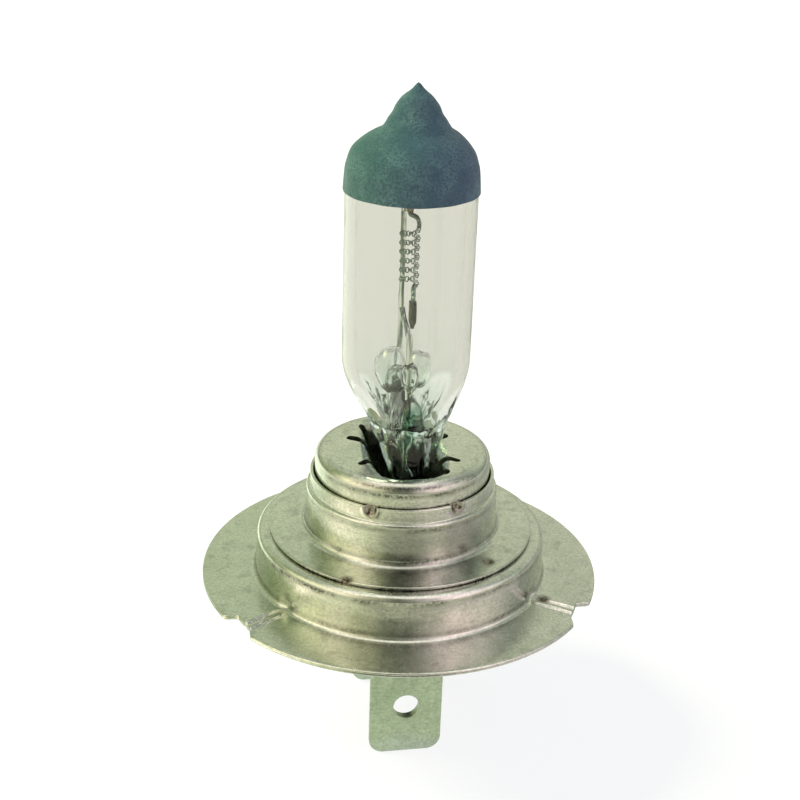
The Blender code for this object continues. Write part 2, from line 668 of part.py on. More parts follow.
def build():
    clear_scene()
    quartz = make_material("quartz_glass", (0.93, 0.96, 0.93), 0.02, 0.0, 1.0)
    paint = make_material("antiglare_paint", (0.13, 0.2, 0.2), 0.7)
    tungsten = make_material("tungsten", (0.42, 0.44, 0.42), 0.35, 1.0)
    molybdenum = make_material("molybdenum", (0.55, 0.57, 0.55), 0.3, 1.0)
    plated_steel = make_material("plated_steel", (0.6, 0.63, 0.54), 0.33, 1.0)
    flange_steel = make_material("flange_steel", (0.58, 0.62, 0.53), 0.4, 1.0)
    contact = make_material("tinned_contact", (0.56, 0.62, 0.53), 0.42, 1.0)
    moulding = make_material("insulator_moulding", (0.06, 0.06, 0.055), 0.6)

    glass_envelope(quartz)
    glare_coating(paint)
    filament(tungsten)
    long_lead(molybdenum)
    short_lead(molybdenum)
    crimp("upper_crimp", UPPER_CRIMP, molybdenum)
    crimp("lower_crimp", LOWER_CRIMP, molybdenum)
    for side, (lead_x, lead_y) in (("rear", LONG_LEAD), ("front", SHORT_LEAD)):
        foil("sealing_foil_" + side, lead_x, lead_y, molybdenum)
        outer_lead("outer_lead_" + side, lead_x, lead_y, molybdenum)
    clamp_cup(plated_steel)
    focus_ring(plated_steel)
    locating_flange(flange_steel)
    insulator(moulding)
    blade("terminal_blade_front", -1.0, contact)
    blade("terminal_blade_rear", 1.0, contact)


build()
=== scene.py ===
"""Looks of a halogen headlight bulb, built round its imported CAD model.

Everything is in metres, in the CAD frame: the origin is the centre of the locating flange's glass
side, +Z runs up the glass, and the two blades face +Y and -Y.
"""
import math

import bmesh
import bpy
from mathutils import Matrix, Vector, noise


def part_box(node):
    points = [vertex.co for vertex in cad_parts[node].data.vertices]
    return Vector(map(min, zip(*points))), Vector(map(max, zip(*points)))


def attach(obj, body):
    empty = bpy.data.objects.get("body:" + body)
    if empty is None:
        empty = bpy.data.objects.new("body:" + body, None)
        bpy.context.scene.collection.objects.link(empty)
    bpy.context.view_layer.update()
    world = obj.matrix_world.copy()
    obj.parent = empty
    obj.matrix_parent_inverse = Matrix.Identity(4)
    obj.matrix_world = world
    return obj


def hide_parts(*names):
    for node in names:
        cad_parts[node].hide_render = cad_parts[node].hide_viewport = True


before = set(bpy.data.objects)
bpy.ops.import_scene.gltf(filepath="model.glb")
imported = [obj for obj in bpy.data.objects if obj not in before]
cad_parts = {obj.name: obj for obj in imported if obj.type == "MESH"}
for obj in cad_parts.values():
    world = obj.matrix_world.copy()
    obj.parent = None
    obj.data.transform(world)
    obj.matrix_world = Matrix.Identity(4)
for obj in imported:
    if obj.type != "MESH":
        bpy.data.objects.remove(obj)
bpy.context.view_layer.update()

MM = 0.001
SEGMENTS = 240
SHEET_SEGMENTS = 3 * SEGMENTS
EDGE_STEPS = 6
SHEET_EDGE = 0.3

# Camera: where the object is seen from, and how the view is turned from looking at the origin.
CAMERA_DISTANCE = 125.6 * MM
CAMERA_ELEVATION = 30.06
CAMERA_AZIMUTH = -10.6
CAMERA_TILT = 6.48
CAMERA_PAN = 0.18
CAMERA_ROLL = -2.0
CAMERA_LENS = 64.28

# Places taken from the frame.
FLANGE_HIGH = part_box("locating_flange")[1]
RING_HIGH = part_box("focus_ring")[1]
CUP_LOW, CUP_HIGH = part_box("clamp_cup")
GLASS_LOW, GLASS_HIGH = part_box("glass_envelope")
COATING_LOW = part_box("glare_coating")[0]
BLADE_LOW, BLADE_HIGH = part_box("terminal_blade_front")

# Locating flange.
FLANGE_RADIUS = FLANGE_HIGH.x
DRUM_TOP = FLANGE_HIGH.z
SHEET = 0.4 * MM
DRUM_RADIUS = 12.45 * MM
DRUM_TAPER = 0.2 * MM
DRUM_FOOT_FILLET = 0.4 * MM
DRUM_EDGE_RADIUS = 0.6 * MM
DRUM_OPENING_RADIUS = 9.0 * MM
NOTCHES = ((87.0, 1.0), (210.0, 1.0), (324.0, -1.0))
NOTCH_PROFILE = (
    (-1.9 * MM, 0.0),
    (-1.35 * MM, 1.0 * MM),
    (0.9 * MM, 0.7 * MM),
    (1.9 * MM, 0.0),
)
NOTCH_SOFTNESS = 0.12 * MM
RIB_ANGLES = (87.0, 212.0, 324.0)
RIB_HALF_WIDTH = 0.42 * MM
RIB_CREST = 0.17 * MM
RIB_WIDTH = 0.15 * MM

# Focus ring.
FOCUS_FLANGE_RADIUS = RING_HIGH.x
FOCUS_FLANGE_TOP = 4.3 * MM
FOCUS_WALL_RADIUS = 8.2 * MM
FOCUS_FOOT_FILLET = 0.6 * MM
SHOULDER_Z = 7.9 * MM
SHOULDER_RADIUS = 0.45 * MM
COLLAR_RADIUS = 7.78 * MM
COLLAR_TOP = RING_HIGH.z
RING_SHEET = 0.28 * MM
FOCUS_RIM_TOP = DRUM_TOP + RING_SHEET + 0.02 * MM
WELD_ANGLES = (-118.9, -64.7, 61.1, 121.1)
WELD_RADIUS = 0.56 * MM
WELD_DEPTH = 0.28 * MM
WELD_LIP = 0.05 * MM
RING_WELD_RADIUS = 0.32 * MM
RING_WELD_DEPTH = 0.09 * MM
SPOT_RADIUS = 0.9 * MM
RING_WELDS = (
    (-122.5, 11.1 * MM),
    (-53.2, 9.9 * MM),
    (57.0, 11.0 * MM),
    (117.0, 10.4 * MM),
)

# Clamp cup.
CUP_SHEET = 0.3 * MM
CUP_RADIUS = CUP_HIGH.x
CUP_TOP = CUP_HIGH.z
CUP_BOTTOM = CUP_LOW.z
CUP_EDGE_RADIUS = 1.0 * MM
TONGUE_ROOT = (3.7 * MM, 6.4 * MM)
TONGUE_TIP = (2.5 * MM, 5.4 * MM)
TONGUE_DROP = 2.3 * MM
TONGUE_ROOT_SQUARENESS = 3.0
TONGUE_STEPS = 14
SLIT_FLARE = 1.8
SLITS = (
    (24.5, 4.6 * MM, 1.10 * MM),
    (58.5, 6.0 * MM, 0.80 * MM),
    (120.5, 5.6 * MM, 1.25 * MM),
    (153.5, 5.0 * MM, 0.80 * MM),
    (216.5, 5.2 * MM, 0.60 * MM),
    (245.5, 6.1 * MM, 0.80 * MM),
    (295.5, 6.2 * MM, 1.30 * MM),
    (321.5, 5.4 * MM, 0.60 * MM),
)

# Painted shade in the bends as (radius, height, width), and patches of painted shade on the
# ring's wall as (degrees, height).
BEND_SHADE_RINGS = (
    (DRUM_RADIUS + 0.05 * MM, 0.5 * MM, 0.34 * MM),
    (DRUM_RADIUS - DRUM_TAPER, DRUM_TOP - 0.6 * MM, 0.42 * MM),
    (FOCUS_FLANGE_RADIUS, DRUM_TOP + 0.1 * MM, 0.3 * MM),
    (FOCUS_WALL_RADIUS + 0.1 * MM, FOCUS_FLANGE_TOP + 0.45 * MM, 0.42 * MM),
    (FOCUS_WALL_RADIUS, SHOULDER_Z - 0.4 * MM, 0.36 * MM),
    (CUP_RADIUS, CUP_TOP - 1.0 * MM, 0.36 * MM),
    (CUP_RADIUS - 0.22 * MM, CUP_TOP - 0.4 * MM, 0.34 * MM),
)
SHADE_PATCHES = ((-97.0, 6.0 * MM), (-62.0, 6.0 * MM))
SHADE_PATCH_RADIUS = 3.4 * MM
RIB_DIMPLE = (13.3 * MM, -34.0)
DIMPLE_RADIUS = 0.34 * MM
DIMPLE_DEPTH = 0.22 * MM
FLANGE_WAVE = 0.03 * MM

# Glass.
TUBE_RADIUS = GLASS_HIGH.x
TUBE_WALL = 1.0 * MM
TUBE_BOTTOM = 19.6 * MM
SEAL_TOP = 12.4 * MM
SEAL_BOTTOM = GLASS_LOW.z
SEAL_HALF_THICKNESS = 1.7 * MM
SEAL_HALF_WIDTH = 4.7 * MM
SEAL_SQUARENESS = 5.0
SEAL_WAVES = 0.22 * MM
SHOULDER_DEPTH = 5.0 * MM
SHOULDER_POWER = 1.2
NECK_LOW = 9.5 * MM
NECK_HIGH = 15.5 * MM
NECK_FLARE = 1.6 * MM
CHAMBER_BOTTOM = 12.9 * MM
CHAMBER_TOP = 36.4 * MM
CORE_HALF_WIDTH = 1.2 * MM
CORE_TOP = 16.9 * MM
BUBBLES = (
    ((-1.25 * MM, 0.0, 18.5 * MM), (1.35 * MM, 1.5 * MM, 1.9 * MM), 0.16),
    ((-0.9 * MM, -1.0 * MM, 18.0 * MM), (0.9 * MM, 0.8 * MM, 1.2 * MM), 0.2),
    ((-0.1 * MM, -2.4 * MM, 18.6 * MM), (0.7 * MM, 0.75 * MM, 1.35 * MM), 0.4),
    ((1.05 * MM, -0.2 * MM, 18.5 * MM), (1.1 * MM, 1.2 * MM, 1.6 * MM), 0.18),
)
DOME_START = COATING_LOW.z
TIP_Z = GLASS_HIGH.z
NIPPLE_SHIFT = 0.25 * MM
NIPPLE_START = 36.5 * MM
NIPPLE_LUMPS = 0.07 * MM
DOME = (
    (5.25 * MM, 33.4 * MM),
    (5.13 * MM, 35.0 * MM),
    (4.97 * MM, 35.7 * MM),
    (4.77 * MM, 36.3 * MM),
    (4.42 * MM, 36.8 * MM),
    (3.90 * MM, 37.3 * MM),
    (3.35 * MM, 37.7 * MM),
    (2.75 * MM, 38.05 * MM),
    (2.45 * MM, 38.4 * MM),
    (2.18 * MM, 38.85 * MM),
    (1.83 * MM, 39.35 * MM),
    (1.56 * MM, 39.95 * MM),
    (1.08 * MM, 40.55 * MM),
    (0.42 * MM, 41.1 * MM),
    (0.0, 41.6 * MM),
)
COATING_GAP = 0.03 * MM
COATING_THICKNESS = 0.12 * MM
COATING_WAVE = 0.015 * MM

# Filament and its leads.
FILAMENT_BOTTOM = 25.72 * MM
FILAMENT_PITCH = 0.753 * MM
FILAMENT_TURNS = 6.14
FILAMENT_MEAN_RADIUS = 0.66 * MM
FILAMENT_START_ANGLE = -50.0
PRIMARY_RADIUS = 0.16 * MM
PRIMARY_PITCH = 0.32 * MM
PRIMARY_WIRE_RADIUS = 0.046 * MM
PRIMARY_POINTS = 14
LEG_RADIUS = 0.19 * MM
LEG_RIPPLE = 0.014 * MM
INNER_LEAD_RADIUS = 0.23 * MM
LONG_LEAD = (-0.14 * MM, 2.4 * MM)
SHORT_LEAD = (-0.19 * MM, -2.4 * MM)
INNER_LEAD_BOTTOM = 9.2 * MM
LOWER_CRIMP = (0.05 * MM, -1.85 * MM, 22.7 * MM, 24.9 * MM)
UPPER_CRIMP = (0.1 * MM, 0.9 * MM, 31.3 * MM, 32.5 * MM)
CRIMP_HALF_SIZE = (0.3 * MM, 0.42 * MM)
CRIMP_WALL = 0.07 * MM

# Colours of the steel: its light and shade, the painted light tints of its left and right, the
# painted shade in its bends, and the heat of a weld.
STEEL = ((0.72, 0.735, 0.68), (0.59, 0.615, 0.555))
STEEL_LIGHT_TINTS = ((0.95, 1.0, 0.9), (1.0, 0.96, 1.0))
BEND_SHADE_COLOUR = (0.05, 0.05, 0.035)
SPOT_COLOUR = (0.07, 0.04, 0.018)

# Colours of the other materials.
CONTACT = ((0.5, 0.58, 0.44), (0.42, 0.5, 0.37))
# The molybdenum's light and dark are partly painted highlight lines along its streaks.
MOLYBDENUM = ((0.8, 0.84, 0.74), (0.1, 0.16, 0.11))
TUNGSTEN = ((0.34, 0.42, 0.34), (0.08, 0.13, 0.09))
OXIDISED = ((0.2, 0.17, 0.12), (0.04, 0.055, 0.045))
TINNED = ((0.6, 0.6, 0.56), (0.45, 0.45, 0.42))
PLASTIC = ((0.018, 0.018, 0.017), (0.035, 0.034, 0.031))
QUARTZ_OUTSIDE = (0.61, 0.598, 0.545)
QUARTZ_MELTED = (0.94, 0.975, 0.945)
QUARTZ_PRESSED = (0.6, 0.7, 0.62)
QUARTZ_CORE = (0.12, 0.27, 0.19)
QUARTZ_SHADOW = (0.93, 0.94, 0.91)
PAINT = ((0.036, 0.09, 0.118), (0.052, 0.118, 0.142))
# A painted light tint across the paint, from its left to its right.
PAINT_LIGHT_TINTS = ((0.96, 1.14, 0.9), (0.98, 0.82, 1.08))
# Painted shade in the hollows of the peel.
PAINT_HOLLOW_SHADE = (0.02, 0.048, 0.06)
# Painted highlights: the colour of the glints.
PAINT_GLINT_HIGHLIGHT = (0.25, 0.38, 0.38)
PAINT_PIT_COLOUR = (0.01, 0.015, 0.015)

# A pit in the paint and the place where it is worn, as (centre, radius).
PAINT_PIT = ((-0.75 * MM, -2.1 * MM, 38.6 * MM), 0.22 * MM)
PAINT_WORN = ((0.1 * MM, -1.5 * MM, 40.0 * MM), 1.5 * MM)

# Studio. Sky stops are by the sine of the height. Wall and card stops are by the degrees round
# from the camera, to its right. Lights are (name, azimuth, elevation, spread, strength, colour).
WHITE = (1.0, 1.0, 1.0)
PALE_STRENGTHS = (("Is Camera Ray", 1.0), ("Is Transmission Ray", 0.7), ("Is Diffuse Ray", 0.22))
FLOOR_REACH = 2.0
FLOOR_GREY = 0.22
FLOOR_GLOW = 0.84
LIGHTS = (
    ("key_left", -95.0, 46.0, 30.0, 4.5, (0.92, 1.0, 0.64)),
    ("fill_right", 65.0, 45.0, 40.0, 0.9, (0.6, 0.74, 1.0)),
)
SKY_STOPS = (
    (0.0, (0.4, 0.42, 0.32)),
    (0.28, (0.68, 0.72, 0.53)),
    (0.42, (0.84, 0.88, 0.67)),
    (0.5, (0.7, 0.77, 0.56)),
    (0.62, (0.58, 0.63, 0.48)),
    (0.84, (0.62, 0.64, 0.54)),
    (0.97, (1.5, 1.46, 1.3)),
)
OVERHEAD = (0.82, 0.97)
WALL_STOPS = (
    (-150.0, (1.0, 1.0, 1.0)),
    (-108.0, (0.72, 0.78, 0.58)),
    (-72.0, (2.7, 2.35, 2.2)),
    (-50.0, (2.95, 2.42, 2.55)),
    (-28.0, (1.5, 1.35, 1.2)),
    (-8.0, (0.34, 0.34, 0.34)),
    (8.0, (0.34, 0.34, 0.34)),
    (26.0, (1.28, 1.08, 1.36)),
    (45.0, (2.9, 2.2, 2.95)),
    (70.0, (2.0, 1.72, 2.15)),
    (108.0, (0.7, 0.75, 0.82)),
    (150.0, (1.0, 1.0, 1.0)),
)
CARD_REACH = (7.0 * MM, 400.0 * MM)
CARD_NEAR_START = (28.0 * MM, 34.0 * MM)
CARD_FAR_START = (48.5 * MM, 51.0 * MM)
CARD_MIDDLE = (0.9, 0.94, 0.78)
CARD_NEAR = (
    (-180.0, (0.3, 0.34, 0.26)),
    (-150.0, (0.7, 0.76, 0.56)),
    (-104.0, (0.4, 0.46, 0.28)),
    (-70.0, (2.6, 2.25, 1.85)),
    (-34.0, (1.1, 1.1, 0.7)),
    (-12.0, (0.1, 0.11, 0.08)),
    (12.0, (0.1, 0.1, 0.08)),
    (34.0, (0.58, 0.52, 0.54)),
    (70.0, (0.84, 0.75, 0.8)),
    (108.0, (0.24, 0.29, 0.25)),
    (150.0, (0.6, 0.63, 0.55)),
    (180.0, (0.3, 0.34, 0.26)),
)
CARD_FAR = (
    (-180.0, (0.4, 0.44, 0.32)),
    (-140.0, (1.6, 1.75, 1.35)),
    (-80.0, (1.0, 1.02, 0.74)),
    (-10.0, (0.95, 0.97, 0.7)),
    (10.0, (0.9, 0.9, 0.68)),
    (75.0, (0.74, 0.73, 0.57)),
    (130.0, (0.5, 0.54, 0.44)),
    (180.0, (0.4, 0.44, 0.32)),
)

# Blades.
BLADE_HALF_WIDTH = BLADE_HIGH.x
BLADE_HALF_THICKNESS = (BLADE_HIGH.y - BLADE_LOW.y) / 2.0
BLADE_Y = -(BLADE_HIGH.y + BLADE_LOW.y) / 2.0
BLADE_CORNER = 1.25 * MM
BLADE_COINING = (0.38 * MM, 0.15 * MM)
BLADE_HOLE_RADIUS = 1.15 * MM
BLADE_HOLE_Z = -11.0 * MM
BLADE_SOFTNESS = 0.05 * MM


def camera_level(degrees):
    """A level direction, turned by degrees to the right from the way to the camera."""
    turn = math.radians(CAMERA_AZIMUTH + degrees)
    return math.sin(turn), -math.cos(turn), 0.0


# ---------------------------------------------------------------- materials


class Nodes:
    """A node tree, with short calls for the nodes used here. place is the point being coloured."""

    def __init__(self, tree, coordinates):
        self.tree = tree
        self.place = self.node("ShaderNodeTexCoord").outputs[coordinates]

    def node(self, kind, **settings):
        made = self.tree.nodes.new(kind)
        for key, value in settings.items():
            setattr(made, key, value)
        return made

    def link(self, source, target):
        self.tree.links.new(source, target)

    def fill(self, socket, value):
        """Give a socket a number, an (r, g, b) or another node's output."""
        if isinstance(value, (int, float)):
            socket.default_value = value
        elif isinstance(value, tuple):
            socket.default_value = (*value, 1.0)
        else:
            self.link(value, socket)

    def ranged(self, value, from_low, from_high, to_low=0.0, to_high=1.0, kind="LINEAR"):
        node = self.node("ShaderNodeMapRange", interpolation_type=kind)
        for name, bound in (("From Min", from_low), ("From Max", from_high),
                            ("To Min", to_low), ("To Max", to_high)):
            node.inputs[name].default_value = bound
        self.link(value, node.inputs["Value"])
        return node.outputs["Result"]

    def math(self, operation, first, second=0.0):
        node = self.node("ShaderNodeMath", operation=operation)
        for socket, value in zip(node.inputs, (first, second)):
            self.fill(socket, value)
        return node.outputs["Value"]

    def product(self, first, *others):
        for other in others:
            first = self.math("MULTIPLY", first, other)
        return first

    def mixed(self, factor, first, second, blend="MIX"):
        """Mix two colours. Each is a socket or an (r, g, b)."""
        node = self.node("ShaderNodeMix", data_type="RGBA", blend_type=blend)
        for index, value in ((0, factor), (6, first), (7, second)):
            self.fill(node.inputs[index], value)
        return node.outputs[2]

    def mixed_shaders(self, factor, first, second):
        node = self.node("ShaderNodeMixShader")
        for socket, value in zip(node.inputs, (factor, first, second)):
            self.link(value, socket)
        return node.outputs["Shader"]

    def along(self, direction, place=None):
        """How far the place lies along a direction."""
        node = self.node("ShaderNodeVectorMath", operation="DOT_PRODUCT")
        self.link(self.place if place is None else place, node.inputs[0])
        node.inputs[1].default_value = direction
        return node.outputs["Value"]

    def parts(self):
        """The place's X, Y and Z, and its distance from the Z axis."""
        node = self.node("ShaderNodeSeparateXYZ")
        self.link(self.place, node.inputs["Vector"])
        squares = [self.math("POWER", node.outputs[axis], 2.0) for axis in "XY"]
        return (*node.outputs, self.math("SQRT", self.math("ADD", *squares)))

    def ramp(self, factor, stops):
        """A colour ramp over a 0 to 1 factor, from (position, colour) stops."""
        node = self.node("ShaderNodeValToRGB")
        node.color_ramp.interpolation = "EASE"
        elements = node.color_ramp.elements
        elements.remove(elements[1])
        elements[0].position = stops[0][0]
        for position, _ in stops[1:]:
            elements.new(position)
        for element, (_, colour) in zip(elements, stops):
            element.color = (*colour, 1.0)
        self.link(factor, node.inputs["Fac"])
        return node.outputs["Color"]

    def round_ramp(self, stops):
        """A colour ramp round the Z axis. Stops are (degrees to the camera's right, colour)."""
        rightward = self.along(camera_level(90.0))
        turn = self.math("ARCTAN2", rightward, self.along(camera_level(0.0)))
        share = self.ranged(turn, -math.pi, math.pi)
        return self.ramp(share, [((degrees + 180.0) / 360.0, colour) for degrees, colour in stops])


class Shader(Nodes):
    """A material's nodes, round its Principled shader."""

    def __init__(self, name):
        self.material = bpy.data.materials.new(name)
        self.material.use_nodes = True
        super().__init__(self.material.node_tree, "Object")
        self.principled = self.tree.nodes["Principled BSDF"]
        self.output = self.tree.nodes["Material Output"]

    def set(self, socket, value):
        self.fill(self.principled.inputs[socket], value)

    def noise(self, feature, detail=3.0, roughness=0.55, stretch=(1.0, 1.0, 1.0)):
        """Noise whose features are about so many metres across. Stretch above 1 lengthens them."""
        mapping = self.node("ShaderNodeMapping")
        mapping.inputs["Scale"].default_value = [1.0 / part for part in stretch]
        self.link(self.place, mapping.inputs["Vector"])
        texture = self.node("ShaderNodeTexNoise")
        texture.inputs["Scale"].default_value = 1.0 / feature
        texture.inputs["Detail"].default_value = detail
        texture.inputs["Roughness"].default_value = roughness
        self.link(mapping.outputs["Vector"], texture.inputs["Vector"])
        return texture.outputs["Fac"]

    def near(self, centre, radius):
        """1 at a place in the frame, falling smoothly to 0 at radius from it."""
        node = self.node("ShaderNodeVectorMath", operation="DISTANCE")
        self.link(self.place, node.inputs[0])
        node.inputs[1].default_value = centre
        return self.ranged(node.outputs["Value"], 0.25 * radius, radius, 1.0, 0.0, "SMOOTHSTEP")

    def near_rings(self, rings):
        """1 on the nearest of some circles round Z, falling to 0 at its width from it.

        Each ring is a (radius, height, width).
        """
        _, _, z, outward = self.parts()
        nearest = 0.0
        for radius, height, width in rings:
            across = self.math("POWER", self.math("SUBTRACT", outward, radius), 2.0)
            along = self.math("POWER", self.math("SUBTRACT", z, height), 2.0)
            away = self.math("SQRT", self.math("ADD", across, along))
            nearest = self.math("MAXIMUM", nearest, self.ranged(away, 0.0, width, 1.0, 0.0))
        return nearest

    def near_side(self):
        """1 on the camera's side of the part, and less towards its flanks and back."""
        outward = self.node("ShaderNodeVectorMath", operation="NORMALIZE")
        self.link(self.place, outward.inputs[0])
        facing = self.along(camera_level(0.0), outward.outputs["Vector"])
        return self.ranged(facing, 0.1, 0.6, 0.35, 1.0)

    def painted_light_tint(self, reach, left, right):
        """Painted light: a tint fixed to the part for the colours of its lights, changing across it
        from the camera's left to its right.
        """
        share = self.ranged(self.along(camera_level(90.0)), -reach, reach)
        return self.mixed(share, left, right)

    def bump(self, height, distance, strength=1.0, below=None):
        node = self.node("ShaderNodeBump")
        node.inputs["Strength"].default_value = strength
        node.inputs["Distance"].default_value = distance
        self.link(height, node.inputs["Height"])
        if below is not None:
            self.link(below, node.inputs["Normal"])
        return node.outputs["Normal"]


def scaled(colour, share):
    return tuple(share * part for part in colour)


def plated_steel(name, colours, roughness, spots=(), patches=()):
    """Satin plated sheet: clouded plating, drawn grain, painted light tints, painted shade in the
    bends and in patches, and weld heat spots.
    """
    light, shade = colours
    shader = Shader(name)
    clouds = shader.noise(2.6 * MM, 4.0, 0.6)
    grain = shader.noise(0.24 * MM, 2.0, 0.5)
    drawn = shader.noise(0.13 * MM, 3.0, 0.6, (9.0, 9.0, 1.0))
    tone = shader.mixed(shader.ranged(clouds, 0.35, 0.68), light, shade)
    # Painted light: the lights' colours tinted into the steel, from its left to its right.
    sides = shader.painted_light_tint(14.0 * MM, *STEEL_LIGHT_TINTS)
    tone = shader.mixed(1.0, tone, sides, "MULTIPLY")
    tone = shader.mixed(shader.ranged(grain, 0.34, 0.66, 0.52, 0.0), tone, scaled(shade, 0.62))
    tone = shader.mixed(shader.ranged(drawn, 0.54, 0.7, 0.0, 0.5), tone, scaled(shade, 0.5))
    # Painted shade: darker patches on the ring's wall.
    for centre in patches:
        patch_shade = shader.product(shader.near(centre, SHADE_PATCH_RADIUS), 0.62)
        tone = shader.mixed(patch_shade, tone, scaled(shade, 0.28))
    # Painted shade in the bends, stronger on the camera's side.
    cloudy = shader.ranged(clouds, 0.38, 0.6, 0.35, 1.0)
    grainy = shader.ranged(grain, 0.4, 0.56, 0.3, 1.0)
    bend_shade = shader.product(cloudy, grainy, shader.near_rings(BEND_SHADE_RINGS), shader.near_side())
    tone = shader.mixed(bend_shade, tone, BEND_SHADE_COLOUR)
    burnt = shader.ranged(grain, 0.35, 0.6, 0.5, 1.0)
    for centre in spots:
        heat = shader.product(shader.near(centre, SPOT_RADIUS), burnt)
        tone = shader.mixed(heat, tone, SPOT_COLOUR)
    shader.set("Base Color", tone)
    rough = shader.noise(0.9 * MM, 5.0, 0.6)
    shader.set("Roughness", shader.ranged(rough, 0.3, 0.7, roughness - 0.06, roughness + 0.08))
    shader.set("Metallic", 1.0)
    coarse = shader.bump(clouds, 0.05 * MM, 0.35)
    shader.set("Normal", shader.bump(grain, 0.006 * MM, 0.5, coarse))
    return shader.material


def quartz_glass():
    """Clear quartz with drawn striations, which lets the lights through to what it holds."""
    shader = Shader("quartz_glass")
    x, _, z, outward = shader.parts()
    outside = shader.ranged(outward, TUBE_RADIUS - 0.6 * TUBE_WALL, TUBE_RADIUS - 0.4 * TUBE_WALL)
    melted = shader.ranged(z, TUBE_BOTTOM + 1.6 * MM, TUBE_BOTTOM)
    inner = shader.mixed(melted, WHITE, QUARTZ_MELTED)
    tint = shader.mixed(outside, inner, QUARTZ_OUTSIDE)
    pressed = shader.ranged(z, NECK_HIGH + 1.0 * MM, SEAL_TOP)
    tint = shader.mixed(pressed, tint, QUARTZ_PRESSED)
    aside = shader.math("ABSOLUTE", x)
    edge = shader.ranged(aside, 0.6 * CORE_HALF_WIDTH, CORE_HALF_WIDTH, 1.0, 0.0)
    low = shader.ranged(z, CORE_TOP + 0.4 * MM, CORE_TOP - 0.8 * MM)
    melt = shader.noise(0.8 * MM, 2.0, 0.5, (1.0, 1.0, 2.5))
    strands = shader.ranged(melt, 0.42, 0.58, 0.3, 1.0)
    core = shader.product(edge, low, strands)
    shader.set("Base Color", shader.mixed(core, tint, QUARTZ_CORE))
    shader.set("Roughness", 0.0)
    shader.set("IOR", 1.46)
    shader.set("Transmission Weight", 1.0)
    streaks = shader.noise(0.7 * MM, 2.0, 0.5, (1.0, 1.0, 12.0))
    ripples = shader.noise(2.2 * MM, 1.0, 0.4)
    wide = shader.bump(ripples, 0.05 * MM, 0.5)
    shader.set("Normal", shader.bump(streaks, 0.02 * MM, 0.5, wide))
    clear = shader.node("ShaderNodeBsdfTransparent")
    shader.fill(clear.inputs["Color"], QUARTZ_SHADOW)
    shadow = shader.node("ShaderNodeLightPath").outputs["Is Shadow Ray"]
    glass = shader.principled.outputs["BSDF"]
    both = shader.mixed_shaders(shadow, glass, clear.outputs["BSDF"])
    shader.link(both, shader.output.inputs["Surface"])
    return shader.material


def glare_paint():
    """Matte ceramic paint with a fine orange-peel skin, worn shiny on one side of the tip, with
    painted shade in its hollows, painted glints and a painted light tint.
    """
    shader = Shader("glare_paint")
    peel = shader.noise(0.19 * MM, 3.0, 0.6)
    patches = shader.noise(1.8 * MM, 3.0, 0.55)
    tone = shader.mixed(shader.ranged(patches, 0.35, 0.65), *PAINT)
    # Painted shade in the hollows of the peel.
    tone = shader.mixed(shader.ranged(peel, 0.36, 0.62, 0.6, 0.0), tone, PAINT_HOLLOW_SHADE)
    # Painted light: the lights' colours tinted across the coating.
    tone = shader.mixed(1.0, tone, shader.painted_light_tint(4.0 * MM, *PAINT_LIGHT_TINTS), "MULTIPLY")
    # Painted highlights: glints along thin lines of the peel.
    crest = shader.math("ABSOLUTE", shader.math("SUBTRACT", peel, 0.53))
    painted_glints = shader.product(shader.ranged(crest, 0.0, 0.026, 0.6, 0.0),
                            shader.ranged(patches, 0.45, 0.6, 0.15, 1.0))
    tone = shader.mixed(painted_glints, tone, PAINT_GLINT_HIGHLIGHT)
    shader.set("Base Color", shader.mixed(shader.near(*PAINT_PIT), tone, PAINT_PIT_COLOUR))
    worn = shader.product(shader.near(*PAINT_WORN), 0.2)
    shader.set("Roughness", shader.math("SUBTRACT", 0.5, worn))
    shader.set("Specular IOR Level", 0.45)
    wrinkles = shader.noise(0.42 * MM, 3.0, 0.6)
    skin_bump = shader.bump(peel, 0.13 * MM, 1.0)
    shader.set("Normal", shader.bump(wrinkles, 0.06 * MM, 0.25, skin_bump))
    return shader.material


def wire_metal(name, colours, roughness, feature=0.5 * MM, stretch=4.0):
    """Bare metal with a soft surface, streaked along Z as it was drawn. Strong streaks, as on the
    molybdenum leads, also stand in for their highlight lines: painted highlights.
    """
    shader = Shader(name)
    tone = shader.noise(feature, 3.0, 0.6, (1.0, 1.0, stretch))
    shader.set("Base Color", shader.mixed(shader.ranged(tone, 0.4, 0.62), *colours))
    shader.set("Metallic", 1.0)
    shader.set("Roughness", shader.ranged(tone, 0.3, 0.7, roughness - 0.05, roughness + 0.08))
    shader.set("Normal", shader.bump(tone, 0.01 * MM, 0.4))
    return shader.material


def moulded_plastic():
    """Black heat-proof moulding with a fine matte grain."""
    shader = Shader("moulded_insulator")
    grain = shader.noise(0.12 * MM, 3.0, 0.6)
    shader.set("Base Color", shader.mixed(shader.ranged(grain, 0.3, 0.7), *PLASTIC))
    shader.set("Roughness", shader.ranged(shader.noise(1.5 * MM), 0.3, 0.7, 0.5, 0.66))
    shader.set("Normal", shader.bump(grain, 0.01 * MM, 0.6))
    return shader.material


# ---------------------------------------------------------------- mesh tools


def placed(name, data):
    """A new object in the scene, which holds a mesh, a light or a camera."""
    made = bpy.data.objects.new(name, data)
    bpy.context.scene.collection.objects.link(made)
    return made


def mesh_from(name, builder):
    """Turn a finished bmesh into a mesh, and free it."""
    mesh = bpy.data.meshes.new(name)
    builder.to_mesh(mesh)
    builder.free()
    return mesh


def finished(name, builder, material, sharp, node, hollow=()):
    """Make a piece from a finished bmesh, and tie it to the frame in place of a node.

    The faces of hollow are the skin of a closed space inside, so they look inwards.
    """
    bmesh.ops.recalc_face_normals(builder, faces=builder.faces)
    bmesh.ops.reverse_faces(builder, faces=list(hollow))
    mesh = mesh_from(name, builder)
    mesh.shade_smooth()
    mesh.set_sharp_from_angle(angle=math.radians(sharp))
    mesh.materials.append(material)
    piece = placed(name, mesh)
    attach(piece, "root")
    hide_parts(node)
    return piece


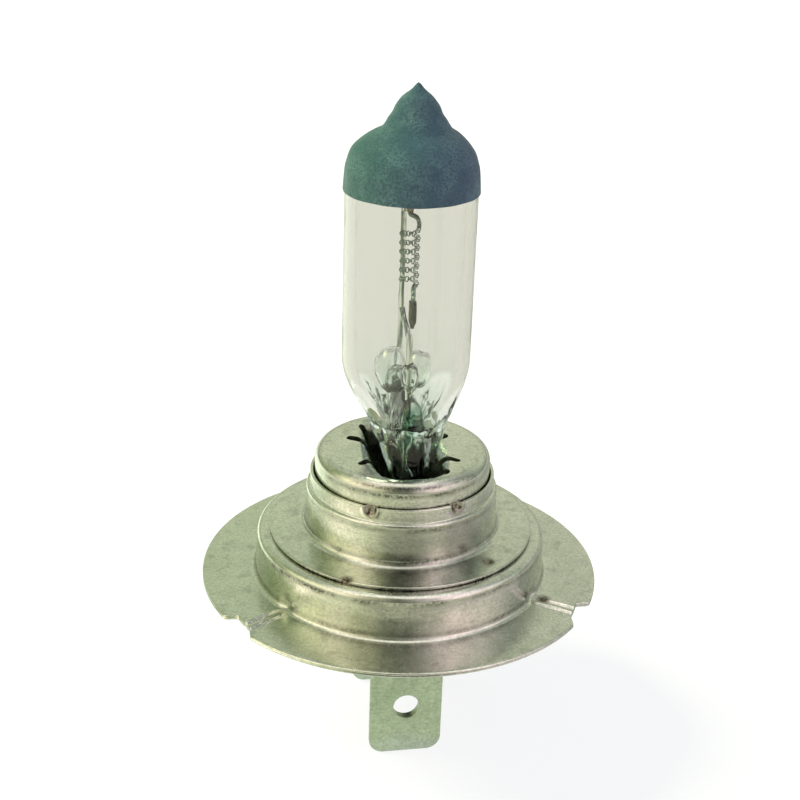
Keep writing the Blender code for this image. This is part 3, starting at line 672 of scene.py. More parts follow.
def skin(rings, closed=False, caps=True, builder=None):
    """Skin rings of points in order, into a bmesh. A ring of one point is a pole."""
    builder = builder or bmesh.new()
    rows = [[builder.verts.new(point) for point in ring] for ring in rings]
    pairs = list(zip(rows, rows[1:]))
    if closed:
        pairs.append((rows[-1], rows[0]))
    for lower, upper in pairs:
        for index in range(max(len(lower), len(upper))):
            following = (index + 1) % max(len(lower), len(upper))
            if len(lower) == 1:
                builder.faces.new((lower[0], upper[following], upper[index]))
            elif len(upper) == 1:
                builder.faces.new((lower[index], lower[following], upper[0]))
            else:
                builder.faces.new((lower[index], lower[following], upper[following], upper[index]))
    if caps and not closed:
        for row in (rows[0], rows[-1]):
            if len(row) > 1:
                builder.faces.new(row)
    return builder


def arc(centre, radius, start, end, steps=EDGE_STEPS):
    """Points of an arc in the (r, z) plane, angles in radians from +r towards +z."""
    points = []
    for step in range(steps + 1):
        angle = start + (end - start) * step / steps
        points.append((centre[0] + radius * math.cos(angle), centre[1] + radius * math.sin(angle)))
    return points


def filleted(corners):
    """Round the corners of an open path, given as (r, z, fillet radius). The ends stay sharp."""
    path = [corners[0][:2]]
    for before, corner, after in zip(corners, corners[1:], corners[2:]):
        here = Vector(corner[:2])
        back = (Vector(before[:2]) - here).normalized()
        ahead = (Vector(after[:2]) - here).normalized()
        half = back.angle(ahead) / 2.0
        radius = corner[2]
        centre = here + (back + ahead).normalized() * radius / math.sin(half)
        first = here + back * radius / math.tan(half) - centre
        last = here + ahead * radius / math.tan(half) - centre
        start = math.atan2(first.y, first.x)
        turn = math.remainder(math.atan2(last.y, last.x) - start, 2.0 * math.pi)
        path += arc(centre, radius, start, start + turn)
    path.append(corners[-1][:2])
    return path


def spaced(path, spacing):
    """Add points so that no stretch of the path is longer than spacing."""
    points = [path[0]]
    for start, end in zip(path, path[1:]):
        parts = max(1, math.ceil(math.dist(start, end) / spacing))
        for part in range(1, parts + 1):
            points.append(tuple(a + (b - a) * part / parts for a, b in zip(start, end)))
    return points


def directions(path):
    """The unit direction of travel at each point of a path."""
    points = [Vector(point) for point in path]
    behind = points[:1] + points[:-1]
    ahead = points[1:] + points[-1:]
    return [(end - start).normalized() for start, end in zip(behind, ahead)]


def sheet_outline(path, thickness):
    """The closed outline of a sheet, with both ends rounded.

    Its seen face follows the path, and its back lies to the right.
    """
    normals = [Vector((run.y, -run.x)) for run in directions(path)]
    face = [Vector(point) for point in path]
    back = [point + normal * thickness for point, normal in zip(face, normals)]
    radius = SHEET_EDGE * thickness
    outline = []
    for index, inward in ((0, 1.0), (-1, -1.0)):
        normal = normals[index]
        along = Vector((-normal.y, normal.x)) * inward
        near_face = face[index] + along * radius + normal * radius
        near_back = back[index] + along * radius - normal * radius
        bend = []
        for centre, first in ((near_back, normal), (near_face, -along)):
            second = -along if first is normal else -normal
            for step in range(4):
                turn = math.pi / 2.0 * step / 3.0
                bend.append(centre + (first * math.cos(turn) + second * math.sin(turn)) * radius)
        outline.append(bend if inward > 0.0 else bend[::-1])
    start, end = outline
    closed = start + face[1:-1] + end + back[-2:0:-1]
    return [tuple(point) for point in closed]


def angles_round(count=SEGMENTS):
    return [2.0 * math.pi * step / count for step in range(count)]


def around(radius, angle, height):
    """The point at an angle round the Z axis."""
    return Vector((radius * math.cos(angle), radius * math.sin(angle), height))


def lathe(outline, warp):
    """Turn (r, z) points round the Z axis. warp moves each point, given its (r, z, angle)."""
    rings = []
    for radius, height in outline:
        ring = []
        for angle in angles_round(SHEET_SEGMENTS):
            moved_radius, moved_height = warp(radius, height, angle)
            ring.append(around(moved_radius, angle, moved_height))
        rings.append(ring)
    return skin(rings, closed=True)


def smooth_path(points, steps):
    """A Catmull-Rom curve through given points of any dimension."""
    ends = [points[0]] + list(points) + [points[-1]]
    path = []
    for before, start, end, after in zip(ends, ends[1:], ends[2:], ends[3:]):
        before, start, end, after = (Vector(p) for p in (before, start, end, after))
        for step in range(steps):
            t = step / steps
            path.append(0.5 * (2.0 * start + (end - before) * t
                               + (2.0 * before - 5.0 * start + 4.0 * end - after) * t ** 2
                               + (3.0 * start - before - 3.0 * end + after) * t ** 3))
    path.append(Vector(points[-1]))
    return path


def carried_frames(path):
    """A normal and a side direction at each point, turning as little as possible."""
    frames = []
    tangent = (path[1] - path[0]).normalized()
    normal = tangent.orthogonal().normalized()
    for run in directions(path):
        turn = tangent.rotation_difference(run)
        tangent = turn @ tangent
        normal = turn @ normal
        frames.append((normal, tangent.cross(normal)))
    return frames


def swept(path, radius, sides=12, builder=None):
    """Sweep a round section along a path. radius is a number or a function of the index."""
    rings = []
    for index, (normal, side) in enumerate(carried_frames(path)):
        reach = radius(index) if callable(radius) else radius
        rings.append([path[index] + reach * (math.cos(angle) * normal + math.sin(angle) * side)
                      for angle in angles_round(sides)])
    return skin(rings, builder=builder)


def superellipse(half_x, half_y, power, angle):
    """Distance from the centre to a rounded rectangle's edge, in the direction of angle."""
    across = abs(math.cos(angle) / half_x) ** power
    along = abs(math.sin(angle) / half_y) ** power
    return (across + along) ** (-1.0 / power)


def round_place(radius, degrees, height):
    return tuple(around(radius, math.radians(degrees), height))


def bell(distance, width):
    return math.exp(-(distance / width) ** 2)


def eased(value, low, high):
    """0 below low, 1 above high, and a smooth step between them."""
    part = min(max((value - low) / (high - low), 0.0), 1.0)
    return part * part * (3.0 - 2.0 * part)


def turn_between(angle, degrees):
    """The signed angle from a direction given in degrees, in radians."""
    return math.remainder(angle - math.radians(degrees), 2.0 * math.pi)


# ---------------------------------------------------------------- the pieces


def notch_depth(along):
    """How deep a notch is at a distance along the rim from its middle."""
    depth = 0.0
    samples = (-1.0, -0.5, 0.0, 0.5, 1.0)
    for sample in samples:
        place = along + sample * NOTCH_SOFTNESS
        for (start, low), (end, high) in zip(NOTCH_PROFILE, NOTCH_PROFILE[1:]):
            if start <= place < end:
                depth += low + (high - low) * (place - start) / (end - start)
    return depth / len(samples)


def locating_flange(material):
    """The flat ring with its drum, three rim notches and the pressed double ribs."""
    path = filleted((
        (DRUM_OPENING_RADIUS, DRUM_TOP, 0.0),
        (DRUM_RADIUS - DRUM_TAPER, DRUM_TOP, DRUM_EDGE_RADIUS),
        (DRUM_RADIUS, 0.0, DRUM_FOOT_FILLET),
        (FLANGE_RADIUS, 0.0, 0.0),
    ))
    outline = sheet_outline(spaced(path, 0.3 * MM), SHEET)
    foot = DRUM_RADIUS + DRUM_FOOT_FILLET

    def warp(radius, height, angle):
        share = max(0.0, (radius - foot) / (FLANGE_RADIUS - foot))
        moved = radius
        lift = FLANGE_WAVE * math.sin(3.0 * angle + 0.6) * share
        for degrees, way in NOTCHES:
            moved -= notch_depth(way * turn_between(angle, degrees) * FLANGE_RADIUS) * share
        for degrees in RIB_ANGLES:
            across = abs(turn_between(angle, degrees)) * max(radius, foot)
            crest = bell(across - RIB_HALF_WIDTH, RIB_WIDTH) * RIB_CREST
            lift += crest * eased(radius, foot - 0.1 * MM, foot + 0.4 * MM)
            kink = bell(across, 1.5 * RIB_HALF_WIDTH) * bell(height, 1.0 * MM)
            moved -= 0.3 * MM * kink * (1.0 - eased(radius, foot, foot + 1.2 * MM))
        away = math.hypot(turn_between(angle, RIB_DIMPLE[1]) * radius, radius - RIB_DIMPLE[0])
        lift -= DIMPLE_DEPTH * bell(away, DIMPLE_RADIUS)
        return moved, height + lift

    return finished("locating_flange_sheet", lathe(outline, warp), material, 45.0,
                    "locating_flange")


def focus_ring(material):
    """A flat foot on the drum, a wall, a shoulder, and the collar with its weld dents."""
    path = filleted((
        (COLLAR_RADIUS, COLLAR_TOP, 0.0),
        (COLLAR_RADIUS, SHOULDER_Z + 0.1 * MM, 0.12 * MM),
        (FOCUS_WALL_RADIUS - 0.12 * MM, SHOULDER_Z, SHOULDER_RADIUS * 0.55),
        (FOCUS_WALL_RADIUS, FOCUS_FLANGE_TOP, FOCUS_FOOT_FILLET),
        (FOCUS_FLANGE_RADIUS, FOCUS_RIM_TOP, 0.0),
    ))
    outline = sheet_outline(spaced(path, 0.16 * MM), RING_SHEET)

    def warp(radius, height, angle):
        if height > SHOULDER_Z + 0.2 * MM:
            near = min(abs(turn_between(angle, degrees)) for degrees in WELD_ANGLES) * COLLAR_RADIUS
            reach = math.hypot(near, height - COLLAR_TOP + 0.15 * MM)
            dent = 1.0 - eased(reach, 0.5 * WELD_RADIUS, 1.1 * WELD_RADIUS)
            lip = bell(reach - 1.2 * WELD_RADIUS, 0.14 * MM) * WELD_LIP
            return radius - dent * WELD_DEPTH + lip, height
        if radius > FOCUS_WALL_RADIUS + FOCUS_FOOT_FILLET and height < FOCUS_FLANGE_TOP + 0.05 * MM:
            dip = 0.0
            for degrees, at_radius in RING_WELDS:
                across = turn_between(angle, degrees) * radius
                dip = max(dip, bell(math.hypot(across, radius - at_radius), RING_WELD_RADIUS))
            return radius, height - RING_WELD_DEPTH * dip
        return radius, height

    return finished("focus_ring_sheet", lathe(outline, warp), material, 45.0,
                    "focus_ring")


def tongue_reach(turn, inward):
    """The bent lip's reach at one step of its quarter turn, as a function of the angle."""
    def reach(angle):
        root = superellipse(*TONGUE_ROOT, TONGUE_ROOT_SQUARENESS, angle)
        tip = superellipse(*TONGUE_TIP, SEAL_SQUARENESS, angle)
        return root - (root - tip - inward) * math.sin(turn)
    return reach


def clamp_cup(material):
    """A cup whose top bends down round a long opening, slit into tongues."""
    bend_z = CUP_TOP - TONGUE_DROP
    edge_r = CUP_RADIUS - CUP_EDGE_RADIUS
    edge_z = CUP_TOP - CUP_EDGE_RADIUS
    rows = spaced([(CUP_RADIUS, CUP_BOTTOM), (CUP_RADIUS, edge_z)], 0.6 * MM)
    rows += arc((edge_r, edge_z), CUP_EDGE_RADIUS, 0.0, math.pi / 2.0, 12)[1:]
    turns = [math.pi / 2.0 * step / TONGUE_STEPS for step in range(TONGUE_STEPS + 1)]
    outside = [(lambda angle, r=radius: r, height) for radius, height in rows]
    root = tongue_reach(0.0, 0.0)
    for part in (0.35, 0.7):
        outside.append((lambda angle, p=part: edge_r + (root(angle) - edge_r) * p, CUP_TOP))
    for turn in turns:
        outside.append((tongue_reach(turn, 0.0), bend_z + TONGUE_DROP * math.cos(turn)))
    inside = []
    for turn in reversed(turns):
        height = bend_z + (TONGUE_DROP - CUP_SHEET) * math.cos(turn)
        inside.append((tongue_reach(turn, CUP_SHEET), height))
    for radius, height in arc((edge_r, edge_z), CUP_EDGE_RADIUS - CUP_SHEET, math.pi / 2.0, 0.0, 8):
        inside.append((lambda angle, r=radius: r, height))
    inside.append((lambda angle: CUP_RADIUS - CUP_SHEET, CUP_BOTTOM))
    rings = [[around(reach(angle), angle, height) for angle in angles_round()]
             for reach, height in outside + inside]
    cup = finished("clamp_cup_shell", skin(rings, closed=True), material, 50.0,
                   "clamp_cup")
    for number, (degrees, outer_end, width) in enumerate(SLITS):
        cut_slit(cup, number, degrees, outer_end, width, bend_z)
    return cup


def cut_slit(cup, number, degrees, outer_end, width, bend_z):
    """Cut one radial slit with a round outer end, a little wider towards the middle."""
    half = width / 2.0
    wide = SLIT_FLARE * half
    outline = [(0.4 * MM, -wide), (outer_end - half, -half)]
    outline += arc((outer_end - half, 0.0), half, -math.pi / 2.0, math.pi / 2.0, 10)[1:-1]
    outline += [(outer_end - half, half), (0.4 * MM, wide)]
    turn = Matrix.Rotation(math.radians(degrees), 4, "Z")
    rings = [[turn @ Vector((x, y, height)) for x, y in outline]
             for height in (bend_z - 1.0 * MM, CUP_TOP + 1.0 * MM)]
    builder = skin(rings)
    bmesh.ops.recalc_face_normals(builder, faces=builder.faces)
    name = "slit_%d" % number
    cutter = placed(name, mesh_from(name, builder))
    modifier = cup.modifiers.new("Cut", "BOOLEAN")
    modifier.solver = "EXACT"
    modifier.object = cutter
    bpy.context.view_layer.update()
    evaluated = cup.evaluated_get(bpy.context.evaluated_depsgraph_get())
    shaped = bpy.data.meshes.new_from_object(evaluated)
    cup.modifiers.clear()
    cup.data = shaped
    bpy.data.objects.remove(cutter, do_unlink=True)


def seal_shape(height):
    """Half thickness, half width and squareness of the glass below the tube, and how far down."""
    depth = min(max((TUBE_BOTTOM - height) / (TUBE_BOTTOM - SEAL_TOP), 0.0), 1.0)
    fullness = max(1.0 - ((TUBE_BOTTOM - height) / SHOULDER_DEPTH) ** 2, 0.0)
    neck = SEAL_HALF_THICKNESS + NECK_FLARE * eased(height, NECK_LOW, NECK_HIGH)
    half_x = neck + (TUBE_RADIUS - neck) * fullness ** SHOULDER_POWER
    half_y = SEAL_HALF_WIDTH + (TUBE_RADIUS - SEAL_HALF_WIDTH) * math.sqrt(fullness)
    return half_x, half_y, 2.0 + (SEAL_SQUARENESS - 2.0) * depth ** 3, depth


def seal_point(height, angle):
    """A point of the glass below the tube: pressed flat, with a bead along each edge."""
    half_x, half_y, power, depth = seal_shape(height)
    reach = superellipse(half_x, half_y, power, angle)
    x = reach * math.cos(angle)
    y = reach * math.sin(angle)
    waist = bell(y / half_y, 0.55) * depth ** 4 * 0.22
    x *= 1.0 - waist
    place = Vector((x, y, height))
    ridge = Vector((x / (0.75 * MM), y / (0.75 * MM), height / (3.2 * MM)))
    lumps = Vector((x / (1.6 * MM), y / (1.6 * MM), height / (1.3 * MM)))
    wobble = (noise.noise(ridge) + 0.8 * noise.noise(lumps)) * SEAL_WAVES * eased(depth, 0.35, 0.75)
    return place + Vector((x, y, 0.0)).normalized() * wobble


def nipple_moved(point):
    """The drawn tip stands a little to one side."""
    share = eased(point.z, NIPPLE_START, NIPPLE_START + 2.0 * MM)
    lump = noise.noise(point / (1.4 * MM)) * NIPPLE_LUMPS * share
    outward = Vector((point.x, point.y, 0.0))
    if outward.length > 0.0:
        outward.normalize()
    return point + Vector((NIPPLE_SHIFT * share, 0.0, 0.0)) + outward * lump


def dome_rings(offset, bottom):
    """Rings of the dome and its drawn tip, offset along their normals."""
    profile = smooth_path(DOME, 5)
    rings = []
    for (radius, height), run in zip(profile[:-1], directions(profile)):
        moved_r = max(radius + offset * run.y, 0.02 * MM)
        moved_z = height - offset * run.x if rings else bottom
        rings.append([nipple_moved(around(moved_r, angle, moved_z)) for angle in angles_round()])
    rings.append([nipple_moved(Vector((0.0, 0.0, TIP_Z + offset)))])
    return rings


def glass_envelope(material):
    """The quartz body and, inside it, the gas chamber with the curled glass at its foot."""
    heights = [SEAL_BOTTOM + (SEAL_TOP - SEAL_BOTTOM) * step / 24 for step in range(24)]
    heights += [SEAL_TOP + (TUBE_BOTTOM - SEAL_TOP) * math.sin(math.pi / 2.0 * step / 30)
                for step in range(31)]
    rings = [[seal_point(height, angle) for angle in angles_round()] for height in heights]
    rings += dome_rings(0.0, DOME_START)
    builder = skin(rings)
    outside = set(builder.faces)
    chamber_skin(builder)
    hollow = [face for face in builder.faces if face not in outside]
    for centre, radii, wall in BUBBLES:
        hollow += bubble(builder, centre, radii, wall)
    return finished("quartz_envelope", builder, material, 60.0, "glass_envelope", hollow)


def chamber_foot(radius, angle):
    """Height of the chamber's floor: a thin-walled funnel, with a ridge of melted glass along Y."""
    low, high = CHAMBER_BOTTOM, TUBE_BOTTOM
    for _ in range(20):
        middle = (low + high) / 2.0
        half_x, half_y, power, _ = seal_shape(middle)
        if superellipse(half_x - TUBE_WALL, half_y - TUBE_WALL, power, angle) < radius:
            low = middle
        else:
            high = middle
    x = radius * math.cos(angle)
    y = radius * math.sin(angle)
    lumps = noise.noise(Vector((x, y, 0.0)) / (0.95 * MM)) * 1.5 * MM
    sides = CHAMBER_BOTTOM + 1.6 * MM * (y / (4.0 * MM)) ** 2 + lumps
    core = math.sqrt(max(1.0 - (x / CORE_HALF_WIDTH) ** 2, 0.0))
    core *= 1.0 - eased(abs(y), 3.0 * MM, 4.0 * MM)
    return max(high, sides + (CORE_TOP - sides) * core)


def bubble(builder, centre, radii, wall):
    """A lopsided bubble of glass on the ridge. Returns the faces of its inner skin."""
    steps = 18
    for share in (1.0, 1.0 - wall):
        before = set(builder.faces)
        rings = []
        for step in range(steps + 1):
            turn = math.pi * step / steps
            ring = []
            for angle in angles_round(36 if 0 < step < steps else 1):
                way = around(math.sin(turn), angle, -math.cos(turn))
                lump = share * (1.0 + 0.16 * noise.noise(way * 1.3 + Vector(centre) / MM))
                ring.append(Vector([c + lump * r * w for c, r, w in zip(centre, radii, way)]))
            rings.append(ring)
        skin(rings, builder=builder)
    return [face for face in builder.faces if face not in before]


def chamber_skin(builder):
    """Add the chamber's inner skin to the glass."""
    bore = TUBE_RADIUS - TUBE_WALL
    rings = [[Vector((0.0, 0.0, chamber_foot(0.0, 0.0)))]]
    steps = 110
    for step in range(1, steps + 1):
        radius = bore * math.sin(math.pi / 2.0 * step / steps)
        rings.append([around(radius, angle, chamber_foot(radius, angle))
                      for angle in angles_round()])
    for step in range(13):
        turn = math.pi / 2.0 * step / 13
        radius = bore * math.cos(turn)
        height = DOME_START + (CHAMBER_TOP - DOME_START) * math.sin(turn)
        rings.append([around(radius, angle, height) for angle in angles_round()])
    rings.append([Vector((0.0, 0.0, CHAMBER_TOP))])
    skin(rings, builder=builder)


def glare_coating(material):
    """The opaque skin over the dome and the tip, with a brushed lower edge."""
    outer = dome_rings(COATING_GAP + COATING_THICKNESS, COATING_LOW.z)
    inner = dome_rings(COATING_GAP, COATING_LOW.z)
    for ring in (outer[0], inner[0]):
        for point in ring:
            angle = math.atan2(point.y, point.x)
            waves = 1.0 + math.sin(5.0 * angle) + 0.6 * math.sin(13.0 * angle + 1.0)
            point.z += COATING_WAVE * waves
    return finished("glare_coating_skin", skin(inner[::-1] + outer), material, 60.0,
                    "glare_coating")


def coil_path():
    """The open turns of the filament."""
    points = []
    steps = round(FILAMENT_TURNS * 48)
    for step in range(steps + 1):
        part = FILAMENT_TURNS * step / steps
        angle = math.radians(FILAMENT_START_ANGLE) + 2.0 * math.pi * part
        points.append(around(FILAMENT_MEAN_RADIUS, angle, FILAMENT_BOTTOM + FILAMENT_PITCH * part))
    return points


def evenly(path, spacing):
    """Points at even spacing along a path."""
    points = [path[0]]
    left = spacing
    for start, end in zip(path, path[1:]):
        length = (end - start).length
        while left <= length:
            points.append(start.lerp(end, left / length))
            left += spacing
        left -= length
    return points


def rippled(index):
    """The leg's radius, with one ripple in every five points."""
    return LEG_RADIUS + LEG_RIPPLE * math.sin(2.0 * math.pi * index / 5.0)


def filament(material):
    """A coiled coil: the fine primary coil follows the open turns, with a solid leg at each end."""
    turns = coil_path()
    spine = evenly(turns, PRIMARY_PITCH / PRIMARY_POINTS)
    primary = []
    for index, (normal, side) in enumerate(carried_frames(spine)):
        angle = 2.0 * math.pi * index / PRIMARY_POINTS
        offset = math.cos(angle) * normal + math.sin(angle) * side
        primary.append(spine[index] + PRIMARY_RADIUS * offset)
    builder = swept(primary, PRIMARY_WIRE_RADIUS, 8)
    crimp_x, crimp_y, crimp_low, crimp_high = LOWER_CRIMP
    lower_leg = smooth_path((
        (crimp_x, crimp_y, crimp_low + 0.3 * MM),
        (crimp_x, crimp_y, crimp_high),
        (crimp_x + 0.05 * MM, crimp_y + 0.12 * MM, crimp_high + 0.45 * MM),
        (0.2 * MM, -1.1 * MM, FILAMENT_BOTTOM - 0.06 * MM),
        tuple(turns[0]),
    ), 14)
    crimp_x, crimp_y, crimp_low, crimp_high = UPPER_CRIMP
    upper_leg = smooth_path((
        tuple(turns[-1]),
        (0.72 * MM, 0.12 * MM, 30.75 * MM),
        (0.56 * MM, 0.3 * MM, 31.15 * MM),
        (crimp_x, crimp_y, crimp_low + 0.1 * MM),
        (crimp_x, crimp_y, crimp_high - 0.1 * MM),
    ), 14)
    for leg in (lower_leg, upper_leg):
        swept(evenly(leg, 0.02 * MM), rippled, 14, builder)
    return finished("coiled_filament", builder, material, 80.0, "filament")


def crimp(name, place, material, node):
    """A flattened sleeve folded round a leg, pointed below and open in a V above."""
    x, y, low, high = place
    half_x, half_y = CRIMP_HALF_SIZE
    length = high - low
    rings = []
    for inset, parts in ((0.0, range(0, 13)), (CRIMP_WALL, range(12, -1, -1))):
        for part in parts:
            share = part / 12.0
            squeeze = 0.5 + 0.5 * eased(share, 0.0, 0.3)
            across, along = (half_x - inset) * squeeze, (half_y - inset) * squeeze
            ring = []
            for angle in angles_round(40):
                reach = superellipse(across, along, 3.0, angle)
                dip = 0.3 * MM * bell(turn_between(angle, -70.0), 0.5) * eased(share, 0.8, 1.0)
                ring.append(Vector((x + reach * math.cos(angle), y + reach * math.sin(angle),
                                    low + share * length - dip)))
            rings.append(ring)
    return finished(name, skin(rings, closed=True), material, 50.0, node)


def lead_wires(material):
    """The long lead runs up behind the coil. The short one bends back beside the lower crimp."""
    x, y = LONG_LEAD
    crimp_x, crimp_y, _, crimp_high = UPPER_CRIMP
    beside = crimp_y + CRIMP_HALF_SIZE[1] + INNER_LEAD_RADIUS
    long_path = smooth_path((
        (x, y, INNER_LEAD_BOTTOM),
        (x, y, 20.0 * MM),
        (x, y, 30.3 * MM),
        (x * 0.8, y - 0.12 * MM, 31.3 * MM),
        (crimp_x - 0.08 * MM, beside + 0.15 * MM, 32.0 * MM),
        (crimp_x, beside + 0.02 * MM, crimp_high + 0.2 * MM),
    ), 16)
    finished("long_lead", swept(long_path, INNER_LEAD_RADIUS, 20), material, 60.0,
             "long_lead_wire")
    x, y = SHORT_LEAD
    short_path = smooth_path((
        (x, y, INNER_LEAD_BOTTOM),
        (x, y, 15.0 * MM),
        (x, y, 21.4 * MM),
        (x - 0.15 * MM, y + 0.05 * MM, 22.4 * MM),
        (x - 0.42 * MM, y + 0.6 * MM, 23.5 * MM),
        (x - 0.5 * MM, y + 1.05 * MM, 24.3 * MM),
    ), 16)
    finished("short_lead", swept(short_path, INNER_LEAD_RADIUS, 20), material, 60.0,
             "short_lead_wire")


def blade_outline(inset):
    """The tab's edge, as (x, z) points in order, with rounded lower corners."""
    half = BLADE_HALF_WIDTH - inset
    low = BLADE_LOW.z + inset
    high = BLADE_HIGH.z - inset
    corner = BLADE_CORNER - inset * 0.5
    outline = arc((half - corner, low + corner), corner, -math.pi / 2.0, 0.0, 12)
    outline += [(half, low + corner + (high - low - corner) * part / 16.0) for part in range(1, 17)]
    outline += [(half - 2.0 * half * part / 12.0, high) for part in range(1, 13)]
    outline += [(-half, high + (low + corner - high) * part / 16.0) for part in range(1, 16)]
    outline += arc((corner - half, low + corner), corner, math.pi, 1.5 * math.pi, 12)
    outline += [(-half + corner + 2.0 * (half - corner) * part / 8.0, low) for part in range(1, 8)]
    return outline


def blade(name, side, material, node):
    """A flat tab with a coined border, softened edges and a round hole."""
    inset, step = BLADE_COINING
    half = BLADE_HALF_THICKNESS
    centre_y = side * BLADE_Y
    soft = BLADE_SOFTNESS
    outlines = (
        (inset + soft, half),
        (inset, half - 0.3 * soft),
        (soft, half - step),
        (0.0, half - step - soft),
    )
    layers = [(shrink, -depth) for shrink, depth in outlines]
    layers += [(shrink, depth) for shrink, depth in reversed(outlines)]
    reference = [math.atan2(z - BLADE_HOLE_Z, x) for x, z in blade_outline(0.0)]

    def ring_at(y, outline):
        return [Vector((x, centre_y + y, z)) for x, z in outline]

    def hole_ring(radius, y):
        return ring_at(y, [(radius * math.cos(angle), BLADE_HOLE_Z + radius * math.sin(angle))
                           for angle in reference])

    rings = [hole_ring(BLADE_HOLE_RADIUS, -half + soft), hole_ring(BLADE_HOLE_RADIUS + soft, -half)]
    rings += [ring_at(y, blade_outline(shrink)) for shrink, y in layers]
    rings += [hole_ring(BLADE_HOLE_RADIUS + soft, half), hole_ring(BLADE_HOLE_RADIUS, half - soft)]
    builder = skin(rings, closed=True)
    return finished(name, builder, material, 30.0, node)


# ---------------------------------------------------------------- camera, floor and light


def place_camera():
    """Stand off from the origin, then turn the view by pan, tilt and roll."""
    elevation = math.radians(CAMERA_ELEVATION)
    place = CAMERA_DISTANCE * Vector((0.0, -math.cos(elevation), math.sin(elevation)))
    ahead = -place.normalized()
    right = Vector((1.0, 0.0, 0.0))
    up = right.cross(ahead)
    for name, degrees in (("up", CAMERA_PAN), ("right", CAMERA_TILT), ("ahead", CAMERA_ROLL)):
        axis = {"up": up, "right": right, "ahead": ahead}[name]
        turn = Matrix.Rotation(math.radians(degrees), 3, axis)
        ahead, right, up = turn @ ahead, turn @ right, turn @ up
    swing = Matrix.Rotation(math.radians(CAMERA_AZIMUTH), 3, "Z")
    place, right, up, ahead = swing @ place, swing @ right, swing @ up, swing @ ahead
    camera = placed("camera", bpy.data.cameras.new("camera"))
    camera.data.lens = CAMERA_LENS
    camera.data.sensor_width = 36.0
    camera.data.clip_start = 0.001
    camera.data.clip_end = 10.0
    turn = Matrix((right, up, -ahead)).transposed()
    camera.matrix_world = Matrix.Translation(place) @ turn.to_4x4()
    bpy.context.scene.camera = camera


def soft_light(name, azimuth, elevation, spread, strength, colour):
    """Soft light from far away. Azimuth is from the camera's side, positive to the right."""
    lamp = bpy.data.lights.new(name, "SUN")
    lamp.angle = math.radians(spread)
    lamp.energy = strength
    lamp.color = colour
    light = placed(name, lamp)
    rise = math.radians(elevation)
    source = Vector(camera_level(azimuth)) * math.cos(rise) + Vector((0.0, 0.0, math.sin(rise)))
    light.rotation_euler = source.to_track_quat("Z", "Y").to_euler()
    light.visible_glossy = False


def stage():
    """A plain pale floor under the blades, and an even pale surround."""
    floor = placed("floor", bpy.data.meshes.new("floor"))
    corners = ((-1.0, -1.0), (1.0, -1.0), (1.0, 1.0), (-1.0, 1.0))
    floor.data.from_pydata([(x * FLOOR_REACH, y * FLOOR_REACH, 0.0) for x, y in corners],
                           [], [(0, 1, 2, 3)])
    floor.location.z = BLADE_LOW.z
    shader = Shader("pale_floor")
    shader.set("Base Color", (FLOOR_GREY, FLOOR_GREY, FLOOR_GREY))
    shader.set("Roughness", 0.9)
    shader.set("Specular IOR Level", 0.0)
    shader.set("Emission Color", WHITE)
    shader.set("Emission Strength", FLOOR_GLOW)
    floor.data.materials.append(shader.material)
    surround()


def surround():
    """A pale surround with even light. Gloss sees a studio: lit from above, dark by the camera."""
    world = bpy.data.worlds.new("surround")
    bpy.context.scene.world = world
    world.use_nodes = True
    nodes = Nodes(world.node_tree, "Generated")
    _, _, height, _ = nodes.parts()
    overhead = nodes.ranged(height, *OVERHEAD)
    walls = nodes.mixed(overhead, nodes.round_ramp(WALL_STOPS), WHITE)
    sky = nodes.ramp(height, SKY_STOPS)
    gloss = nodes.tree.nodes["Background"]
    nodes.link(nodes.mixed(1.0, sky, walls, "MULTIPLY"), gloss.inputs["Color"])
    rays = nodes.node("ShaderNodeLightPath")
    seen = gloss.outputs["Background"]
    for ray, strength in PALE_STRENGTHS:
        plain = nodes.node("ShaderNodeBackground")
        nodes.fill(plain.inputs["Color"], WHITE)
        nodes.fill(plain.inputs["Strength"], strength)
        seen = nodes.mixed_shaders(rays.outputs[ray], seen, plain.outputs["Background"])
    nodes.link(seen, nodes.tree.nodes["World Output"].inputs["Surface"])
    bpy.context.scene.view_settings.view_transform = "Standard"


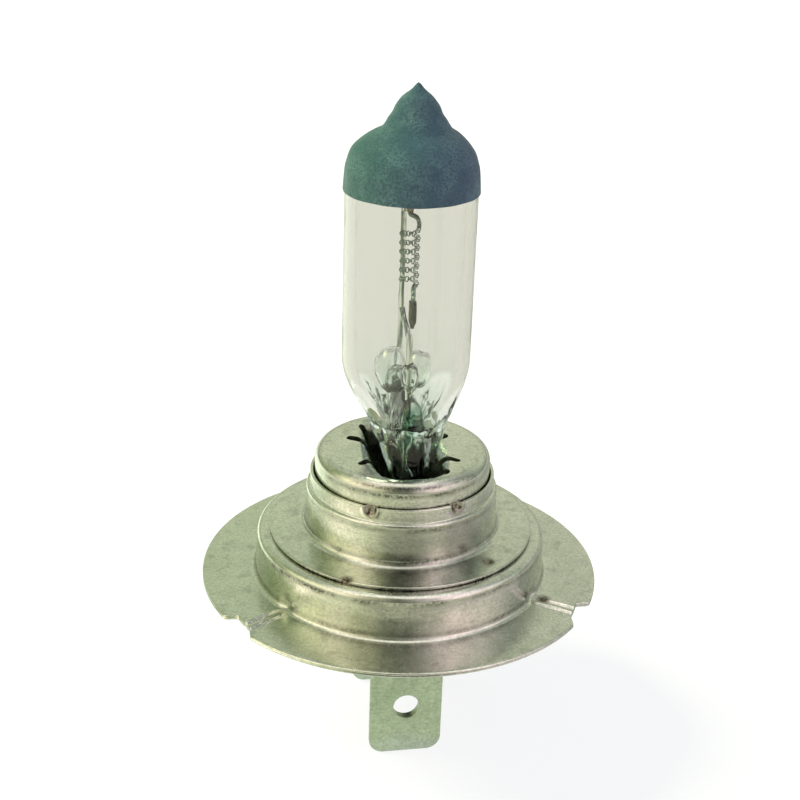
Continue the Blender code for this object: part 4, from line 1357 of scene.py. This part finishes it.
def reflector_card():
    """A disc of bright and dark cards on the floor, which only the metal's reflections see."""
    rings = [[around(reach, angle, 0.0) for angle in angles_round(96)] for reach in CARD_REACH]
    card = placed("reflector_card", mesh_from("reflector_card", skin(rings, caps=False)))
    card.location.z = BLADE_LOW.z + 0.5 * MM
    for ray in ("camera", "diffuse", "shadow", "transmission"):
        setattr(card, "visible_" + ray, False)
    shader = Shader("card_light")
    reach = shader.node("ShaderNodeVectorMath", operation="LENGTH")
    shader.link(shader.place, reach.inputs[0])
    light = CARD_MIDDLE
    for stops, start in ((CARD_NEAR, CARD_NEAR_START), (CARD_FAR, CARD_FAR_START)):
        zone = shader.ranged(reach.outputs["Value"], *start)
        light = shader.mixed(zone, light, shader.round_ramp(stops))
    glow = shader.node("ShaderNodeEmission")
    shader.link(light, glow.inputs["Color"])
    shader.link(glow.outputs["Emission"], shader.output.inputs["Surface"])
    card.data.materials.append(shader.material)


def build():
    cup_spots = [round_place(COLLAR_RADIUS, degrees, COLLAR_TOP - 0.3 * MM)
                 for degrees in WELD_ANGLES]
    ring_spots = [round_place(radius, degrees, FOCUS_FLANGE_TOP) for degrees, radius in RING_WELDS]
    patches = [round_place(FOCUS_WALL_RADIUS, degrees, height) for degrees, height in SHADE_PATCHES]
    dimple = round_place(*RIB_DIMPLE, 0.0)
    cup_metal = plated_steel("cup_steel_plated", STEEL, 0.2, cup_spots)
    ring_metal = plated_steel("ring_steel_plated", STEEL, 0.21, cup_spots + ring_spots, patches)
    flange_metal = plated_steel("flange_steel_plated", STEEL, 0.22, [dimple])
    contact_metal = plated_steel("contact_plated", CONTACT, 0.42)
    # The molybdenum's strong light and dark streaks are also painted highlight lines on the leads.
    molybdenum = wire_metal("molybdenum_drawn", MOLYBDENUM, 0.12, 0.26 * MM, 14.0)
    tungsten = wire_metal("tungsten_drawn", TUNGSTEN, 0.2, 0.3 * MM, 1.0)
    sleeve = wire_metal("crimp_oxidised", OXIDISED, 0.3, 0.7 * MM, 2.0)
    tinned = wire_metal("lead_tinned", TINNED, 0.3)

    locating_flange(flange_metal)
    focus_ring(ring_metal)
    clamp_cup(cup_metal)
    glass_envelope(quartz_glass())
    glare_coating(glare_paint())
    filament(tungsten)
    lead_wires(molybdenum)
    crimp("lower_crimp_sleeve", LOWER_CRIMP, sleeve, "lower_crimp")
    crimp("upper_crimp_sleeve", UPPER_CRIMP, sleeve, "upper_crimp")
    blade("blade_front", -1.0, contact_metal, "terminal_blade_front")
    blade("blade_rear", 1.0, contact_metal, "terminal_blade_rear")
    carried = {
        "insulator": moulded_plastic(),
        "outer_lead_front": tinned,
        "outer_lead_rear": tinned,
        "sealing_foil_front": molybdenum,
        "sealing_foil_rear": molybdenum,
    }
    for node, material in carried.items():
        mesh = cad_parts[node].data
        mesh.materials.clear()
        mesh.materials.append(material)


build()
place_camera()
stage()
reflector_card()
for light in LIGHTS:
    soft_light(*light)
